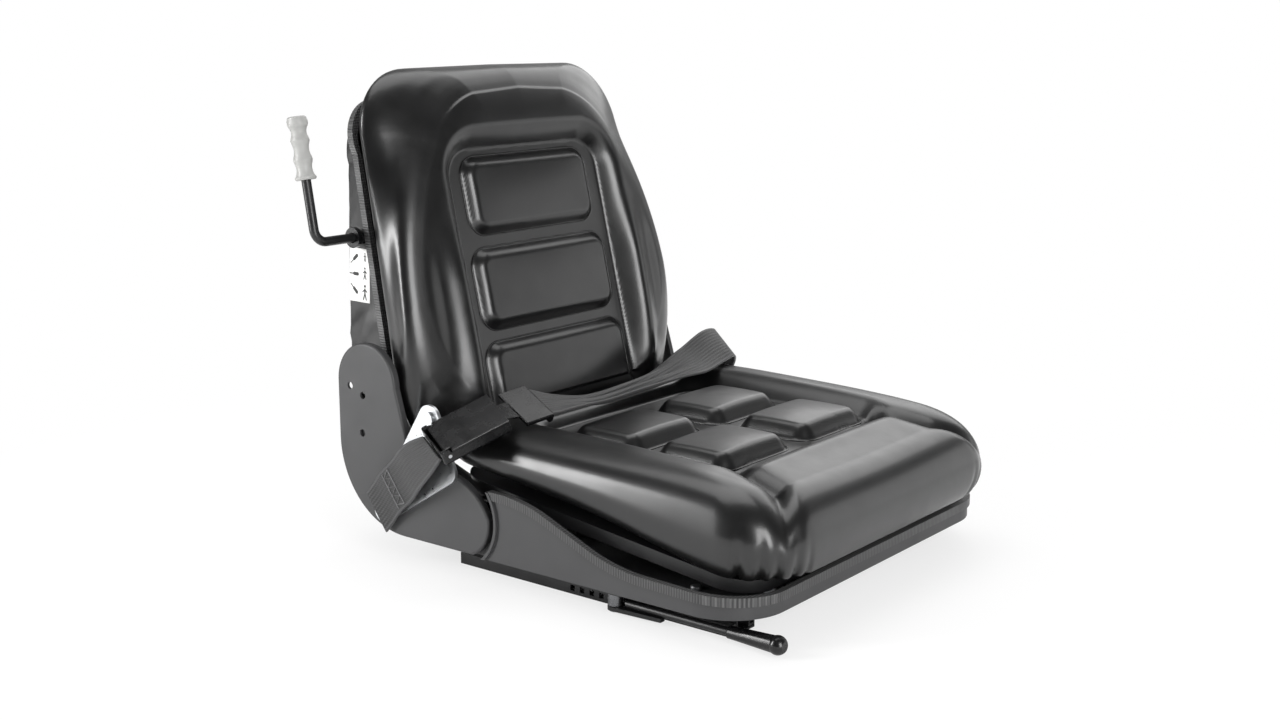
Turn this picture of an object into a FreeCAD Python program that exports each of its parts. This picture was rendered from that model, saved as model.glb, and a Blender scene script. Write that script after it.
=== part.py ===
"""Compact tractor seat with a sprung shell, slide rails and a lap belt.

Frame: +Z up, the seat faces -Y, +X is the sitter's left. The origin is the middle of the four
floor fixing holes, on the floor. Lengths are millimetres and angles are degrees.
"""
import FreeCAD, Part
import math
import os

from FreeCAD import Placement, Rotation, Vector

SIZES = [
    ("rail_length", 350, "length of every slide rail"),
    ("rail_spread", 358, "distance between the two rail centre lines"),
    ("rail_width", 38, "outer width of a lower rail"),
    ("rail_height", 12, "height of a lower rail"),
    ("rail_wall", 2, "sheet thickness of the rails"),
    ("rail_slot", 24, "open slot between the lips of a lower rail"),
    ("upper_rail_top", 16, "height of the top face of an upper rail"),
    ("ball_bore", 4.6, "diameter of the rail balls"),
    ("fixing_spacing", 240, "distance between the front and rear fixing holes"),
    ("fixing_bore", 8.5, "diameter of a fixing hole"),
    ("notch_pitch", 12.5, "pitch of the latch notches"),
    ("notch_length", 6, "length of one latch notch"),
    ("riser_width", 26, "width of a rail riser"),
    ("riser_length", 260, "length of a rail riser"),
    ("pan_floor_level", 28.6, "height of the underside of the pan"),
    ("sheet", 2, "sheet thickness of the pan"),
    ("overall_width", 470, "width over the two side plates"),
    ("pan_front", 217, "distance from the origin to the front wall"),
    ("pan_corner", 60, "corner radius of the pan in plan"),
    ("rim_high", 100.5, "height of the pan rim beside the side plates"),
    ("rim_low", 49, "height of the pan rim at the front"),
    ("rim_slope", 22, "slope of the rim in degrees"),
    ("tray_rear", 240, "distance from the origin to the rear edge of the floor"),
    ("tray_wall_level", 58, "height of the rear tray walls"),
    ("trim_width", 7, "width of the rubber edge trim"),
    ("trim_height", 9, "height of the rubber edge trim"),
    ("plate_sheet", 3, "sheet thickness of a side plate"),
    ("plate_fold", 8, "depth of the folded edge of a side plate"),
    ("spare_bore", 8, "diameter of the spare holes in a side plate"),
    ("lean", 13.1, "lean of the backrest in degrees"),
    ("back_depth", 205.8, "position of the backrest face at its reference height"),
    ("back_level", 219.7, "reference height of the backrest face"),
    ("back_foam", 60, "thickness of the back cushion"),
    ("board_sheet", 3, "sheet thickness of the two boards"),
    ("cover_skin", 2.5, "thickness of the soft back cover"),
    ("board_rim", 10, "depth of the turned-down rim of the seat board"),
    ("board_rise", 7, "slope of the seat board in degrees"),
    ("seat_level", 58, "height of the underside of the seat board over the hinge"),
    ("hinge_y", 190, "distance from the origin to the hinge pin, forwards"),
    ("hinge_level", 43, "height of the hinge pin"),
    ("hinge_pin_bore", 10, "diameter of the hinge pin"),
    ("running_gap", 0.05, "radial clearance of a turning fit"),
    ("seat_gap", 0.3, "clearance between pieces that only come close"),
    ("arm_y", 280, "position of the swing arm shaft"),
    ("arm_level", 92, "height of the swing arm shaft"),
    ("arm_shaft", 20, "diameter of the swing arm shaft"),
    ("shaft_stub", 14, "length of the arm shaft outside each shell bracket"),
    ("sleeve_bore", 27, "outer diameter of the rubber sleeves on the shaft ends"),
    ("arm_sheet", 5, "thickness of a swing arm"),
    ("roller_clear", 11, "space between a roller and a shell bracket"),
    ("arm_spread", 300, "distance between the two swing arms"),
    ("roller_reach", 107, "distance from the arm shaft forward to the roller"),
    ("roller_bore", 34, "diameter of an arm roller"),
    ("roller_width", 14, "width of an arm roller"),
    ("spring_reach", 35, "distance from the arm shaft back to the spring bar"),
    ("spring_rise", 13, "height of the spring bar over the arm shaft"),
    ("spring_outer", 26, "outer diameter of a tension spring"),
    ("spring_wire", 4, "wire diameter of a tension spring"),
    ("spring_spread", 120, "distance between the two springs"),
    ("lever_y", 312, "position of the weight lever shaft"),
    ("lever_level", 337, "height of the weight lever shaft"),
    ("lever_rod", 10, "diameter of the weight lever rod"),
    ("lever_clear", 59, "distance of the lever arm from the cover's side"),
    ("lever_bend", 14, "bend radius of the weight lever rod"),
    ("lever_arm", 66, "length of rod below the lever grip"),
    ("grip_length", 66, "length of the lever grip"),
    ("lever_back", 10, "backward lean of the lever in degrees"),
    ("hanger_drop", 16, "crank radius of the spring hanger"),
    ("bracket_sheet", 4, "thickness of brackets and anchors"),
    ("latch_y", 45, "distance from the origin to the latch pivot, forwards"),
    ("latch_out", 209, "distance of the latch pivot from the middle"),
    ("latch_sheet", 4, "thickness of the latch plate"),
    ("release_rod", 8, "diameter of the release rod"),
    ("release_grip", 62, "length of the release grip"),
    ("webbing_width", 48, "width of the belt webbing"),
    ("webbing", 2.4, "thickness of the belt webbing"),
    ("buckle_length", 76, "length of the buckle"),
    ("buckle_width", 58, "width of the buckle"),
    ("buckle_height", 15, "height of the buckle body"),
    ("screw", 6, "diameter of the small screws"),
]

doc = FreeCAD.newDocument("suspension_seat")
sheet = doc.addObject("Spreadsheet::Sheet", "sizes")
parts = []


def fill_sheet():
    """Write the driving sizes into the sheet, one row each."""
    for row, (alias, value, note) in enumerate(SIZES, start=1):
        sheet.set("A%d" % row, note)
        sheet.set("B%d" % row, str(value))
        sheet.setAlias("B%d" % row, alias)
    doc.recompute()


def size(alias):
    """Return one driving size."""
    return float(getattr(sheet, alias))


def broad(length):
    """Return a length across the seat, tied to the overall width of the real seat."""
    return length * size("overall_width") / 470


def bracket_half():
    """Return the distance from the middle to the inner face of a shell bracket."""
    return size("arm_spread") / 2 + size("arm_sheet") + size("roller_width") + size("roller_clear")


def keep(node, name):
    """Name a finished sub-part."""
    node.Label = name
    parts.append(node)
    return node


def feature(name, shape):
    """Hold a shape made with geometry functions."""
    node = doc.addObject("Part::Feature", name + "_form")
    node.Shape = shape.removeSplitter() if shape.ShapeType != "Compound" else shape
    return keep(node, name)


def outline(start, *steps):
    """Return sketch edges from a start point through lines (one point) and arcs (two points)."""
    edges = []
    here = Vector(start[0], start[1], 0)
    for step in steps:
        if len(step) == 2 and not isinstance(step[0], tuple):
            end = Vector(step[0], step[1], 0)
            edges.append(Part.LineSegment(here, end))
        else:
            via = Vector(step[0][0], step[0][1], 0)
            end = Vector(step[1][0], step[1][1], 0)
            edges.append(Part.Arc(here, via, end))
        here = end
    return edges


def circle(centre, radius):
    """Return a sketch circle."""
    return [Part.Circle(Vector(centre[0], centre[1], 0), Vector(0, 0, 1), radius)]


def rounded(low, high, left, right, radius):
    """Return a rounded rectangle from (left, low) to (right, high)."""
    cut = radius * (1 - math.sqrt(0.5))
    return outline((left + radius, low), (right - radius, low),
                   ((right - cut, low + cut), (right, low + radius)), (right, high - radius),
                   ((right - cut, high - cut), (right - radius, high)), (left + radius, high),
                   ((left + cut, high - cut), (left, high - radius)), (left, low + radius),
                   ((left + cut, low + cut), (left + radius, low)))


def wire(edges, place=None):
    """Turn sketch edges into a wire, put at a place."""
    shape = Part.Wire(Part.__sortEdges__([edge.toShape() for edge in edges]))
    if place:
        shape.Placement = place
    return shape


def slab(edges, depth, place=None):
    """Return the solid between an outline and its copy at a depth along the normal."""
    solid = Part.Face(wire(edges)).extrude(Vector(0, 0, depth))
    if place:
        solid.Placement = place
    return solid


def rod(start, end, diameter):
    """Return a straight round bar between two points."""
    run = end - start
    return Part.makeCylinder(diameter / 2, run.Length, start, run)


def cross_bar(half, y, z, diameter):
    """Return a round bar along X, centred on the middle."""
    return rod(Vector(-half, y, z), Vector(half, y, z), diameter)


ALONG_X = Rotation(Vector(0, 1, 0), Vector(0, 0, 1), Vector(1, 0, 0), "XYZ")


def side_place(x):
    """Return the place that turns a (y, z) outline into a slab starting at x."""
    return Placement(Vector(x, 0, 0), ALONG_X)


def side_slab(edges, x, thickness):
    """Return a slab of a (y, z) outline from x towards +X."""
    return slab(edges, thickness, side_place(x))


class Body:
    """A sub-part built feature by feature from sketches on its own origin planes."""

    def __init__(self, name):
        self.body = doc.addObject("PartDesign::Body", name + "_body")
        self.name = name
        keep(self.body, name)

    def plane(self, role):
        """Return one of the body's own origin planes."""
        return [item for item in self.body.Origin.OriginFeatures if item.Role == role][0]

    def sketch(self, role, edges, offset=0.0):
        """Add a sketch on an origin plane."""
        sketch = self.body.newObject("Sketcher::SketchObject", self.name + "_sketch")
        sketch.AttachmentSupport = [(self.plane(role), "")]
        sketch.MapMode = "FlatFace"
        sketch.AttachmentOffset = Placement(Vector(0, 0, offset), Rotation())
        sketch.addGeometry(edges, False)
        return sketch

    def pad(self, role, edges, length, offset=0.0, both=False, back=False):
        """Pad an outline by a size expression."""
        profile = self.sketch(role, edges, offset)
        pad = self.body.newObject("PartDesign::Pad", self.name + "_pad")
        pad.Profile = (profile, [""])
        pad.setExpression("Length", length)
        pad.Midplane = both
        pad.Reversed = back
        doc.recompute()
        return pad

    def pocket(self, role, edges, length, offset=0.0, both=False, back=False):
        """Cut an outline to a depth and make sure that material goes."""
        before = self.body.Tip.Shape.Volume
        profile = self.sketch(role, edges, offset)
        pocket = self.body.newObject("PartDesign::Pocket", self.name + "_pocket")
        pocket.Profile = (profile, [""])
        pocket.setExpression("Length", length)
        pocket.Midplane = both
        pocket.Reversed = back
        doc.recompute()
        if not pocket.Shape.Volume < before - 1e-6:
            raise ValueError("%s: a pocket removed nothing" % self.name)
        return pocket

    def turn(self, edges, role="YZ_Plane", axis="V_Axis"):
        """Revolve an outline about an axis of its sketch."""
        profile = self.sketch(role, edges)
        turned = self.body.newObject("PartDesign::Revolution", self.name + "_turned")
        turned.Profile = (profile, [""])
        turned.ReferenceAxis = (profile, [axis])
        turned.Angle = 360
        doc.recompute()
        return turned

    def repeat(self, item, axis_role, length, count):
        """Repeat a feature in a row along an origin axis."""
        axis = [one for one in self.body.Origin.OriginFeatures if one.Role == axis_role][0]
        row = self.body.newObject("PartDesign::LinearPattern", self.name + "_row")
        row.Originals = [item]
        row.Direction = (axis, [""])
        row.setExpression("Length", length)
        row.Occurrences = count
        self.body.Tip = row
        doc.recompute()
        return row

    def fillet(self, chosen, radius):
        """Round the edges for which chosen(edge) is true."""
        names = []
        for index, edge in enumerate(self.body.Tip.Shape.Edges, start=1):
            if chosen(edge):
                names.append("Edge%d" % index)
        fillet = self.body.newObject("PartDesign::Fillet", self.name + "_fillet")
        fillet.Base = (self.body.Tip, names)
        fillet.Radius = radius
        doc.recompute()
        return fillet

    def move(self, vector, rotation=None):
        """Place the body in the seat."""
        self.body.Placement = Placement(vector, rotation or Rotation())
        return self


def back_place(depth=0.0, slide=0.0):
    """Return the frame of the backrest: x across, y up the slope, z towards the front."""
    lean = math.radians(size("lean"))
    across = Vector(1, 0, 0)
    up = Vector(0, math.sin(lean), math.cos(lean))
    front = across.cross(up)
    base = Vector(0, size("back_depth"), size("back_level"))
    turn = Rotation(across, up, front, "XYZ")
    return Placement(base - front * depth + up * slide, turn)


def back_point(x, up, depth):
    """Return a point given in the backrest frame, depth counted to the rear."""
    return back_place(depth).multVec(Vector(x, up, 0))


def board_place(lift=0.0):
    """Return the frame of the seat board: x across, y back along the slope, z off the board."""
    turn = Rotation(Vector(1, 0, 0), size("board_rise"))
    base = Vector(0, -size("hinge_y"), size("seat_level"))
    return Placement(base + turn.multVec(Vector(0, 0, lift)), turn)


def link(first, first_radius, second, second_radius):
    """Return the outline that wraps two circles."""
    run = Vector(second[0] - first[0], second[1] - first[1], 0)
    along = math.atan2(run.y, run.x)
    spread = math.acos((first_radius - second_radius) / run.Length)

    def on(centre, radius, angle):
        return (centre[0] + radius * math.cos(angle), centre[1] + radius * math.sin(angle))

    return outline(on(first, first_radius, along + spread),
                   (on(first, first_radius, along + math.pi), on(first, first_radius, along - spread)),
                   on(second, second_radius, along - spread),
                   (on(second, second_radius, along), on(second, second_radius, along + spread)),
                   on(first, first_radius, along + spread))


def bore(x, y, z, radius, depth):
    """Return a cutting bar along X from x, towards +X for a positive depth."""
    low = min(x, x + depth)
    return Part.makeCylinder(radius, abs(depth), Vector(low, y, z), Vector(1, 0, 0))


def fuse(shapes):
    """Join shapes into one."""
    return shapes[0].multiFuse(shapes[1:]).removeSplitter() if len(shapes) > 1 else shapes[0]


def twin(shape):
    """Return a shape mirrored to the other side of the seat."""
    return shape.mirror(Vector(0, 0, 0), Vector(1, 0, 0))


def both_sides(shape):
    """Return a shape and its mirror image as one group."""
    return Part.makeCompound([shape, twin(shape)])


SIDES = (("right", -1), ("left", 1))


def side_pair(name, shape):
    """Make the right-hand piece from its shape and the left-hand one as its mirror image."""
    feature(name + "_right", shape)
    feature(name + "_left", twin(shape))


def lower_rail(side, sign):
    """A channel with lips turned in, fixed to the floor; the right one has the latch notches."""
    half = size("rail_width") / 2
    wall = size("rail_wall")
    top = size("rail_height")
    slot = size("rail_slot") / 2
    rail = Body("lower_rail_" + side)
    rail.pad("XZ_Plane", outline(
        (-half, 0), (half, 0), (half, top), (slot, top), (slot, top - wall), (half - wall, top - wall),
        (half - wall, wall), (wall - half, wall), (wall - half, top - wall), (-slot, top - wall),
        (-slot, top), (-half, top), (-half, 0)), "sizes.rail_length", both=True)
    fixings = circle((0, size("fixing_spacing") / 2), size("fixing_bore") / 2)
    fixings += circle((0, -size("fixing_spacing") / 2), size("fixing_bore") / 2)
    rail.pocket("XY_Plane", fixings, "sizes.rail_wall * 3", both=True)
    if side == "right":
        count = 15
        start = -size("latch_y") - 26 - (count - 1) / 2 * size("notch_pitch")
        notch = rounded(wall + 1.5, top - wall - 0.5, start, start + size("notch_length"), 0.8)
        first = rail.pocket("YZ_Plane", notch, "sizes.rail_wall * 2", offset=wall / 2 - half, both=True)
        rail.repeat(first, "Y_Axis", "sizes.notch_pitch * %d" % (count - 1), count)
    rail.move(Vector(sign * size("rail_spread") / 2, 0, 0))


def upper_rail(side, sign):
    """A hat section that runs inside the lower rail on balls."""
    top = size("upper_rail_top")
    wall = size("rail_wall")
    half = size("rail_slot") / 2 - 1
    foot = size("rail_width") / 2 - wall - 1
    sole = size("rail_height") - wall - size("ball_bore") - 0.2
    rail = Body("upper_rail_" + side)
    rail.pad("XZ_Plane", outline(
        (-foot, sole - wall), (wall - half, sole - wall), (wall - half, top - wall),
        (half - wall, top - wall),
        (half - wall, sole - wall), (foot, sole - wall), (foot, sole), (half, sole), (half, top),
        (-half, top), (-half, sole), (-foot, sole), (-foot, sole - wall)), "sizes.rail_length", both=True)
    holes = []
    for y in riser_screws():
        holes += circle((0, y), size("screw") / 2 + 0.2)
    rail.pocket("XY_Plane", holes, "sizes.rail_wall * 3", offset=top, both=True)
    rail.move(Vector(sign * size("rail_spread") / 2, 0, 0))


def riser_screws():
    """Return the positions of the screws that hold pan, riser and upper rail together."""
    middle = riser_middle()
    return (middle - size("riser_length") * 0.4, middle + size("riser_length") * 0.4)


def riser_middle():
    """Return the position of the middle of a rail riser."""
    return -16


def rail_riser(side, sign):
    """A channel that carries the pan on an upper rail."""
    half = size("riser_width") / 2 - 2
    wall = size("rail_wall")
    low = size("upper_rail_top")
    high = size("pan_floor_level")
    riser = Body("rail_riser_" + side)
    riser.pad("XZ_Plane", outline(
        (-half, low), (-half, high), (half, high), (half, low), (half - wall, low),
        (half - wall, high - wall),
        (wall - half, high - wall), (wall - half, low), (-half, low)), "sizes.riser_length",
        offset=-riser_middle(), both=True)
    holes = []
    for y in riser_screws():
        holes += circle((0, y), size("screw") / 2 + 0.2)
    riser.pocket("XY_Plane", holes, "sizes.rail_wall * 3", offset=high, both=True)
    riser.move(Vector(sign * size("rail_spread") / 2, 0, 0))


def screw_solid(x, y, z, reach):
    """Return a pan head screw that points down from a seat at z."""
    radius = size("screw") / 2
    shank = Part.makeCylinder(radius, reach, Vector(x, y, z - reach))
    head = Part.makeCylinder(radius * 1.9, 4, Vector(x, y, z))
    edge = [item for item in head.Edges if item.BoundBox.ZMin > z + 3]
    return shank.fuse(head.makeFillet(1.5, edge)).removeSplitter()


def rail_hardware():
    """The screws through the risers and the balls between the rails."""
    seat = size("pan_floor_level") + size("sheet")
    reach = seat - size("upper_rail_top") + size("rail_wall") + 1
    screws = []
    for side, sign in SIDES:
        for y in riser_screws():
            screws.append(screw_solid(sign * size("rail_spread") / 2, y, seat, reach))
    feature("rail_screws", Part.makeCompound(screws))
    balls = []
    radius = size("ball_bore") / 2
    level = size("rail_height") - size("rail_wall") - radius - 0.1
    lane = (size("rail_slot") / 2 - 1 + size("rail_width") / 2 - size("rail_wall")) / 2
    for side, sign in SIDES:
        for across in (-lane, lane):
            for y in (-70, 0, 70):
                centre = Vector(sign * size("rail_spread") / 2 + across, y, level)
                balls.append(Part.makeSphere(radius, centre))
    feature("rail_balls", Part.makeCompound(balls))


def tangent_corner(before, corner, after, reach):
    """Return the start, middle and end of an arc that rounds a corner."""
    here = Vector(corner[0], corner[1], 0)
    back = (Vector(before[0], before[1], 0) - here).normalize()
    ahead = (Vector(after[0], after[1], 0) - here).normalize()
    half = back.getAngle(ahead) / 2
    radius = reach * math.tan(half)
    middle = here + (back + ahead).normalize() * (reach / math.cos(half) - radius)
    start = here + back * reach
    end = here + ahead * reach
    return ((start.x, start.y), (middle.x, middle.y), (end.x, end.y))


def lip_centre():
    """Return the middle of the round end of a side plate, in (y, z)."""
    return (141, size("pan_floor_level") + 40)


def rim_edges(lift):
    """Return the (y, z) outline of everything below the pan rim, raised by lift."""
    low = size("rim_low") + lift
    high = size("rim_high") + lift
    toe = (-64, low + 4.5)
    crown = (toe[0] + (high - toe[1]) / math.tan(math.radians(size("rim_slope"))), high)
    front = (-size("pan_front") - 10, low)
    rear = (crown[0] + 90, high)
    first = tangent_corner(front, toe, crown, 36)
    second = tangent_corner(toe, crown, rear, 34)
    return outline((front[0], -5), front, first[0], (first[1], first[2]), second[0],
                   (second[1], second[2]), rear, (rear[0], -5), (front[0], -5))


def pan_plan(inset, rear):
    """Return the plan outline of the pan, open straight at the rear."""
    half = size("overall_width") / 2 - inset
    front = -size("pan_front") + inset
    radius = size("pan_corner") - inset
    cut = radius * (1 - math.sqrt(0.5))
    return outline((-half, rear), (-half, front + radius), ((-half + cut, front + cut),
                                                            (-half + radius, front)),
                   (half - radius, front), ((half - cut, front + cut), (half, front + radius)), (half, rear),
                   (-half, rear))


def below_rim(lift):
    """Return the space below the rim over the whole width."""
    half = size("overall_width") / 2 + 20
    return side_slab(rim_edges(lift), -half, 2 * half)


def tray_half():
    """Return the outer half width of the rear tray, which the side plates sit against."""
    return size("overall_width") / 2 - size("plate_fold")


def base_pan():
    """The pressed pan: wedge-shaped skirt in front, tray between the side plates behind."""
    floor = size("pan_floor_level")
    skin = size("sheet")
    level = Placement(Vector(0, 0, floor), Rotation())
    upper = Placement(Vector(0, 0, floor + skin), Rotation())
    skirt = slab(pan_plan(0, 150), 90, level).cut(slab(pan_plan(skin, 151), 90, upper))
    skirt = skirt.common(below_rim(-2))
    y, z = lip_centre()
    reach = 52
    lip_skin = 3
    half = size("overall_width") / 2
    gap = half - tray_half()
    for sign in (-1, 1):
        x = sign * tray_half()
        depth = sign * (gap + 5)
        skirt = skirt.cut(bore(x, y, z, reach, depth))
        skirt = skirt.cut(Part.makeBox(abs(depth), 40, 120, Vector(min(x, x + depth), y, 0)))
    rear = size("tray_rear")
    start = y - reach - 12
    wide = 2 * tray_half()
    tray = Part.makeBox(wide, rear - start, size("tray_wall_level") - floor, Vector(-wide / 2, start, floor))
    hollow = Part.makeBox(wide - 2 * skin, rear - start + 2, 90,
                          Vector(skin - wide / 2, start - 1, floor + skin))
    tray = tray.cut(hollow)
    lips = []
    for sign in (-1, 1):
        x = sign * tray_half()
        ring = bore(x, y, z, reach + lip_skin, sign * (gap + 3)).cut(bore(x, y, z, reach, sign * (gap + 3)))
        window = Part.makeBox(40, 60, size("rim_high") - floor, Vector(x - 20, y - reach - 10, floor))
        lips.append(ring.common(window).common(below_rim(0)))
    pan = fuse([skirt, tray] + lips)
    beads = []
    for x in (-110, 0, 110):
        bead = Part.makeBox(22, 230, 3.5, Vector(x - 11, -150, floor + skin))
        tops = [edge for edge in bead.Edges if edge.BoundBox.ZMin > floor + skin + 3]
        beads.append(bead.makeFillet(3, tops))
    pan = fuse([pan] + beads)
    for side, sign in SIDES:
        x = sign * size("rail_spread") / 2
        for y in riser_screws():
            pan = pan.cut(Part.makeCylinder(size("screw") / 2 + 0.2, 12, Vector(x, y, floor - 4)))
        for y, z in plate_screws():
            pan = pan.cut(bore(sign * (tray_half() - 6), y, z, 4.2, sign * 9))
    feature("base_pan", pan)
    band = below_rim(1).cut(below_rim(1 - size("trim_height")))
    outer = (size("trim_width") - skin) / 2
    ring = slab(pan_plan(-outer, 130), 90, level).cut(slab(pan_plan(skin + outer, 131), 91, level))
    trim = ring.common(band).cut(pan)
    for sign in (-1, 1):
        tool = bore(sign * (half - 12), lip_centre()[0], lip_centre()[1], reach + lip_skin + 0.5, sign * 30)
        trim = trim.cut(tool)
        trim = trim.cut(Part.makeBox(40, 60, 120, Vector(sign * half - 20, lip_centre()[0] - 20, 0)))
    feature("pan_edge_trim", max(trim.Solids, key=lambda item: item.Volume))


def plate_screws():
    """Return the screw positions that join a side plate to the rear tray, in (y, z)."""
    level = size("tray_wall_level") - 13
    return ((150, level), (200, level), (226, level))


def anchor_bolt_place():
    """Return where the belt anchor is bolted to the side plate, in (y, z)."""
    return (226, 96)


def plate_outline():
    """Return the (y, z) outline of a side plate: an upright with a forward foot."""
    low = size("pan_floor_level") + 0.4
    rear = 317
    heel = 95
    cut = heel * (1 - math.sqrt(0.5))
    return outline((123, low), (rear - heel, low), ((rear - cut, low + cut), (rear, low + heel)), (rear, 187),
                   ((rear - 43.5, 230.5), (rear - 87, 187)), (216, 140), ((201, 115), (176, 110.5)),
                   ((123, 98), (99, 70)), ((103, 47), (123, low)))


def side_plates():
    """The L-shaped side plates: pressed sheet with a folded edge, weld nuts and spare holes."""
    half = size("overall_width") / 2
    fold = size("plate_fold")
    skin = size("plate_sheet")
    outer = side_slab(plate_outline(), -half, fold)
    outer = outer.makeFillet(2.5, [edge for edge in outer.Edges if edge.BoundBox.XMax < -half + 0.01])
    inner = Part.Face(wire(plate_outline())).makeOffset2D(-skin)
    inner = inner.extrude(Vector(0, 0, fold))
    inner.Placement = side_place(skin - half)
    plate = outer.cut(inner)
    nuts = []
    for y, z in plate_screws() + (anchor_bolt_place(),):
        nuts.append(bore(-half + skin - 0.5, y, z, 8, fold - skin + 0.5))
    plate = fuse([plate] + nuts)
    for y, z in plate_screws():
        plate = plate.cut(bore(-half + skin, y, z, 4 + size("running_gap"), fold))
    y, z = anchor_bolt_place()
    plate = plate.cut(bore(-half - 1, y, z, 5 + size("running_gap"), fold + 2))
    for y, z in ((297.5, 182.2), (278.4, 174), (280.4, 132.7)):
        plate = plate.cut(bore(-half - 1, y, z, size("spare_bore") / 2, fold))
    side_pair("side_plate", plate)
    screws = []
    for y, z in plate_screws():
        shank = bore(-half + skin + size("seat_gap"), y, z, 4, fold + size("sheet") - skin)
        head = bore(-tray_half() + size("sheet"), y, z, 7, 5)
        screws.append(shank.fuse(head).removeSplitter())
    feature("side_plate_screws", Part.makeCompound(screws + [twin(item) for item in screws]))


def hinge():
    """The front hinge: brackets on the pan floor, a through pin, and ears under the seat board."""
    y = -size("hinge_y")
    z = size("hinge_level")
    radius = size("hinge_pin_bore") / 2
    floor = size("pan_floor_level") + size("sheet")
    skin = size("bracket_sheet")
    inner = size("arm_spread") / 2
    cheek = -inner - skin
    base = side_slab(outline((y - 20, floor), (y + 20, floor), (y + 9, z), ((y, z + 9), (y - 9, z)),
                             (y - 20, floor)), cheek, skin)
    flange = Part.makeBox(18, 40, 3, Vector(cheek - 14, y - 20, floor))
    hole = bore(cheek - 6, y, z, radius + size("running_gap"), 20)
    bracket = fuse([base, flange]).cut(hole)
    feature("hinge_brackets", both_sides(bracket))
    pin = fuse([cross_bar(inner + 8, y, z, 2 * radius), bore(-inner - 11, y, z, radius * 1.6, 3)])
    feature("hinge_pin", pin)
    ear = side_slab(outline((y - 9, z), ((y, z - 9), (y + 9, z)), (y + 22, z + 60), (y - 10, z + 60),
                            (y - 9, z)), 2 - inner, skin)
    reach = size("overall_width")
    above = Part.makeBox(2 * reach, 2 * reach, 200)
    above.Placement = board_place().multiply(Placement(Vector(-reach, -150, 0), Rotation()))
    ear = ear.cut(above).cut(hole)
    feature("hinge_ears", both_sides(ear))


def board_length():
    """Return the length of the seat board along its slope."""
    return 362


def seat_board():
    """A pressed board, its front and sides turned down, with a row of vents on each side."""
    half = broad(211)
    front = -14
    corner = 40
    skin = size("board_sheet")
    board = Body("seat_board")
    board.pad("XY_Plane", rounded(front, board_length(), -half, half, corner), "sizes.board_sheet")
    cut = corner * (1 - math.sqrt(0.5))
    nick = skin + (corner - skin) * (1 - math.sqrt(0.5))
    end = board_length() - corner
    board.pad("XY_Plane", outline(
        (-half, end), (-half, front + corner), ((cut - half, front + cut), (corner - half, front)),
        (half - corner, front), ((half - cut, front + cut), (half, front + corner)), (half, end),
        (half - skin, end), (half - skin, front + corner),
        ((half - nick, front + nick), (half - corner, front + skin)), (corner - half, front + skin),
        ((nick - half, front + nick), (skin - half, front + corner)), (skin - half, end), (-half, end)),
        "sizes.board_rim", back=True)
    vents = circle((-broad(90), 60), 9) + circle((broad(90), 60), 9)
    first = board.pocket("XY_Plane", vents, "sizes.board_sheet * 3", both=True)
    board.repeat(first, "Y_Axis", "225", 6)
    place = board_place()
    board.move(place.Base, place.Rotation)


def back_points(kind):
    """Return half of a backrest outline: widths and heights, with a middle point for each arc."""
    points = {
        "front": [(144, -92), (207, -15), (221, 52), (205, 145), (166, 231), (138, 267), (84, 294), (0, 299)],
        "rear": [(204, -92), (219, -50), (220, 0), (212, 120), (206, 235), (186, 287), (132, 310), (0, 311)],
        "board": [(205, -92), (221, -50), (223, 0), (217, 120), (211, 235), (202, 283), (165, 301), (0, 305)],
    }[kind]
    return [(broad(x), y) for x, y in points]


def board_edges(inset, low, high):
    """Return the outline behind the cushion, shrunk by an inset and fitted between two heights."""
    return back_edges(1, inset, low, high, "board")


def back_edges(share, inset, low=None, high=None, end="rear"):
    """Return a backrest outline between the front (0) and the end (1) form, shrunk by an inset."""
    points = []
    for near, far in zip(back_points("front"), back_points(end)):
        x = near[0] + (far[0] - near[0]) * share
        y = near[1] + (far[1] - near[1]) * share
        x *= 1 - inset / 220
        y = 105 + (y - 105) * (1 - inset / 200)
        points.append((x, y))
    if low is not None:
        bottom = points[0][1]
        top = points[-1][1]
        points = [(x, low + (y - bottom) * (high - low) / (top - bottom)) for x, y in points]
    left = [(-x, y) for x, y in points]
    return outline(points[0], (points[1], points[2]), (points[3], points[4]), (points[5], points[6]),
                   (points[7], left[6]), (left[5], left[4]), (left[3], left[2]), (left[1], left[0]),
                   points[0])


def pad_loft(low, high, left, right, height, place):
    """Return a raised pad with sloping sides, its base and its top rounded rectangles."""
    base = wire(rounded(low, high, left, right, 20), place)
    slope = 9
    top = wire(rounded(low + slope, high - slope, left + slope, right - slope, 16),
               place.multiply(Placement(Vector(0, 0, height), Rotation())))
    return Part.makeLoft([base, top], True, True)


def back_cushion():
    """The back cushion: side bolsters round a recess that holds three raised pads."""
    foam = size("back_foam")
    sections = []
    for depth, share, inset in ((1, 1, 26), (0.85, 1, 24), (0.84, 1, 13), (0.77, 1, 4), (0.65, 1, 0),
                                (0.42, 0.75, 0), (0.22, 0.35, 0), (0.07, 0.1, 3), (-0.06, 0, 10),
                                (-0.13, 0, 24)):
        sections.append(wire(back_edges(share, inset), back_place(depth * foam)))
    cushion = Part.makeLoft(sections, True, True)
    side = broad(124)
    recess = slab(rounded(-110, 214, -side, side, 34), 40, back_place(9))
    cushion = cushion.cut(recess)
    for low, high, half in ((-88, 0, 116), (12.9, 103.2, 111), (117.7, 204.1, 103)):
        cushion = cushion.fuse(pad_loft(low, high, -broad(half), broad(half), 9.5, back_place(9.5)))
    feature("back_cushion", cushion)


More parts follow.
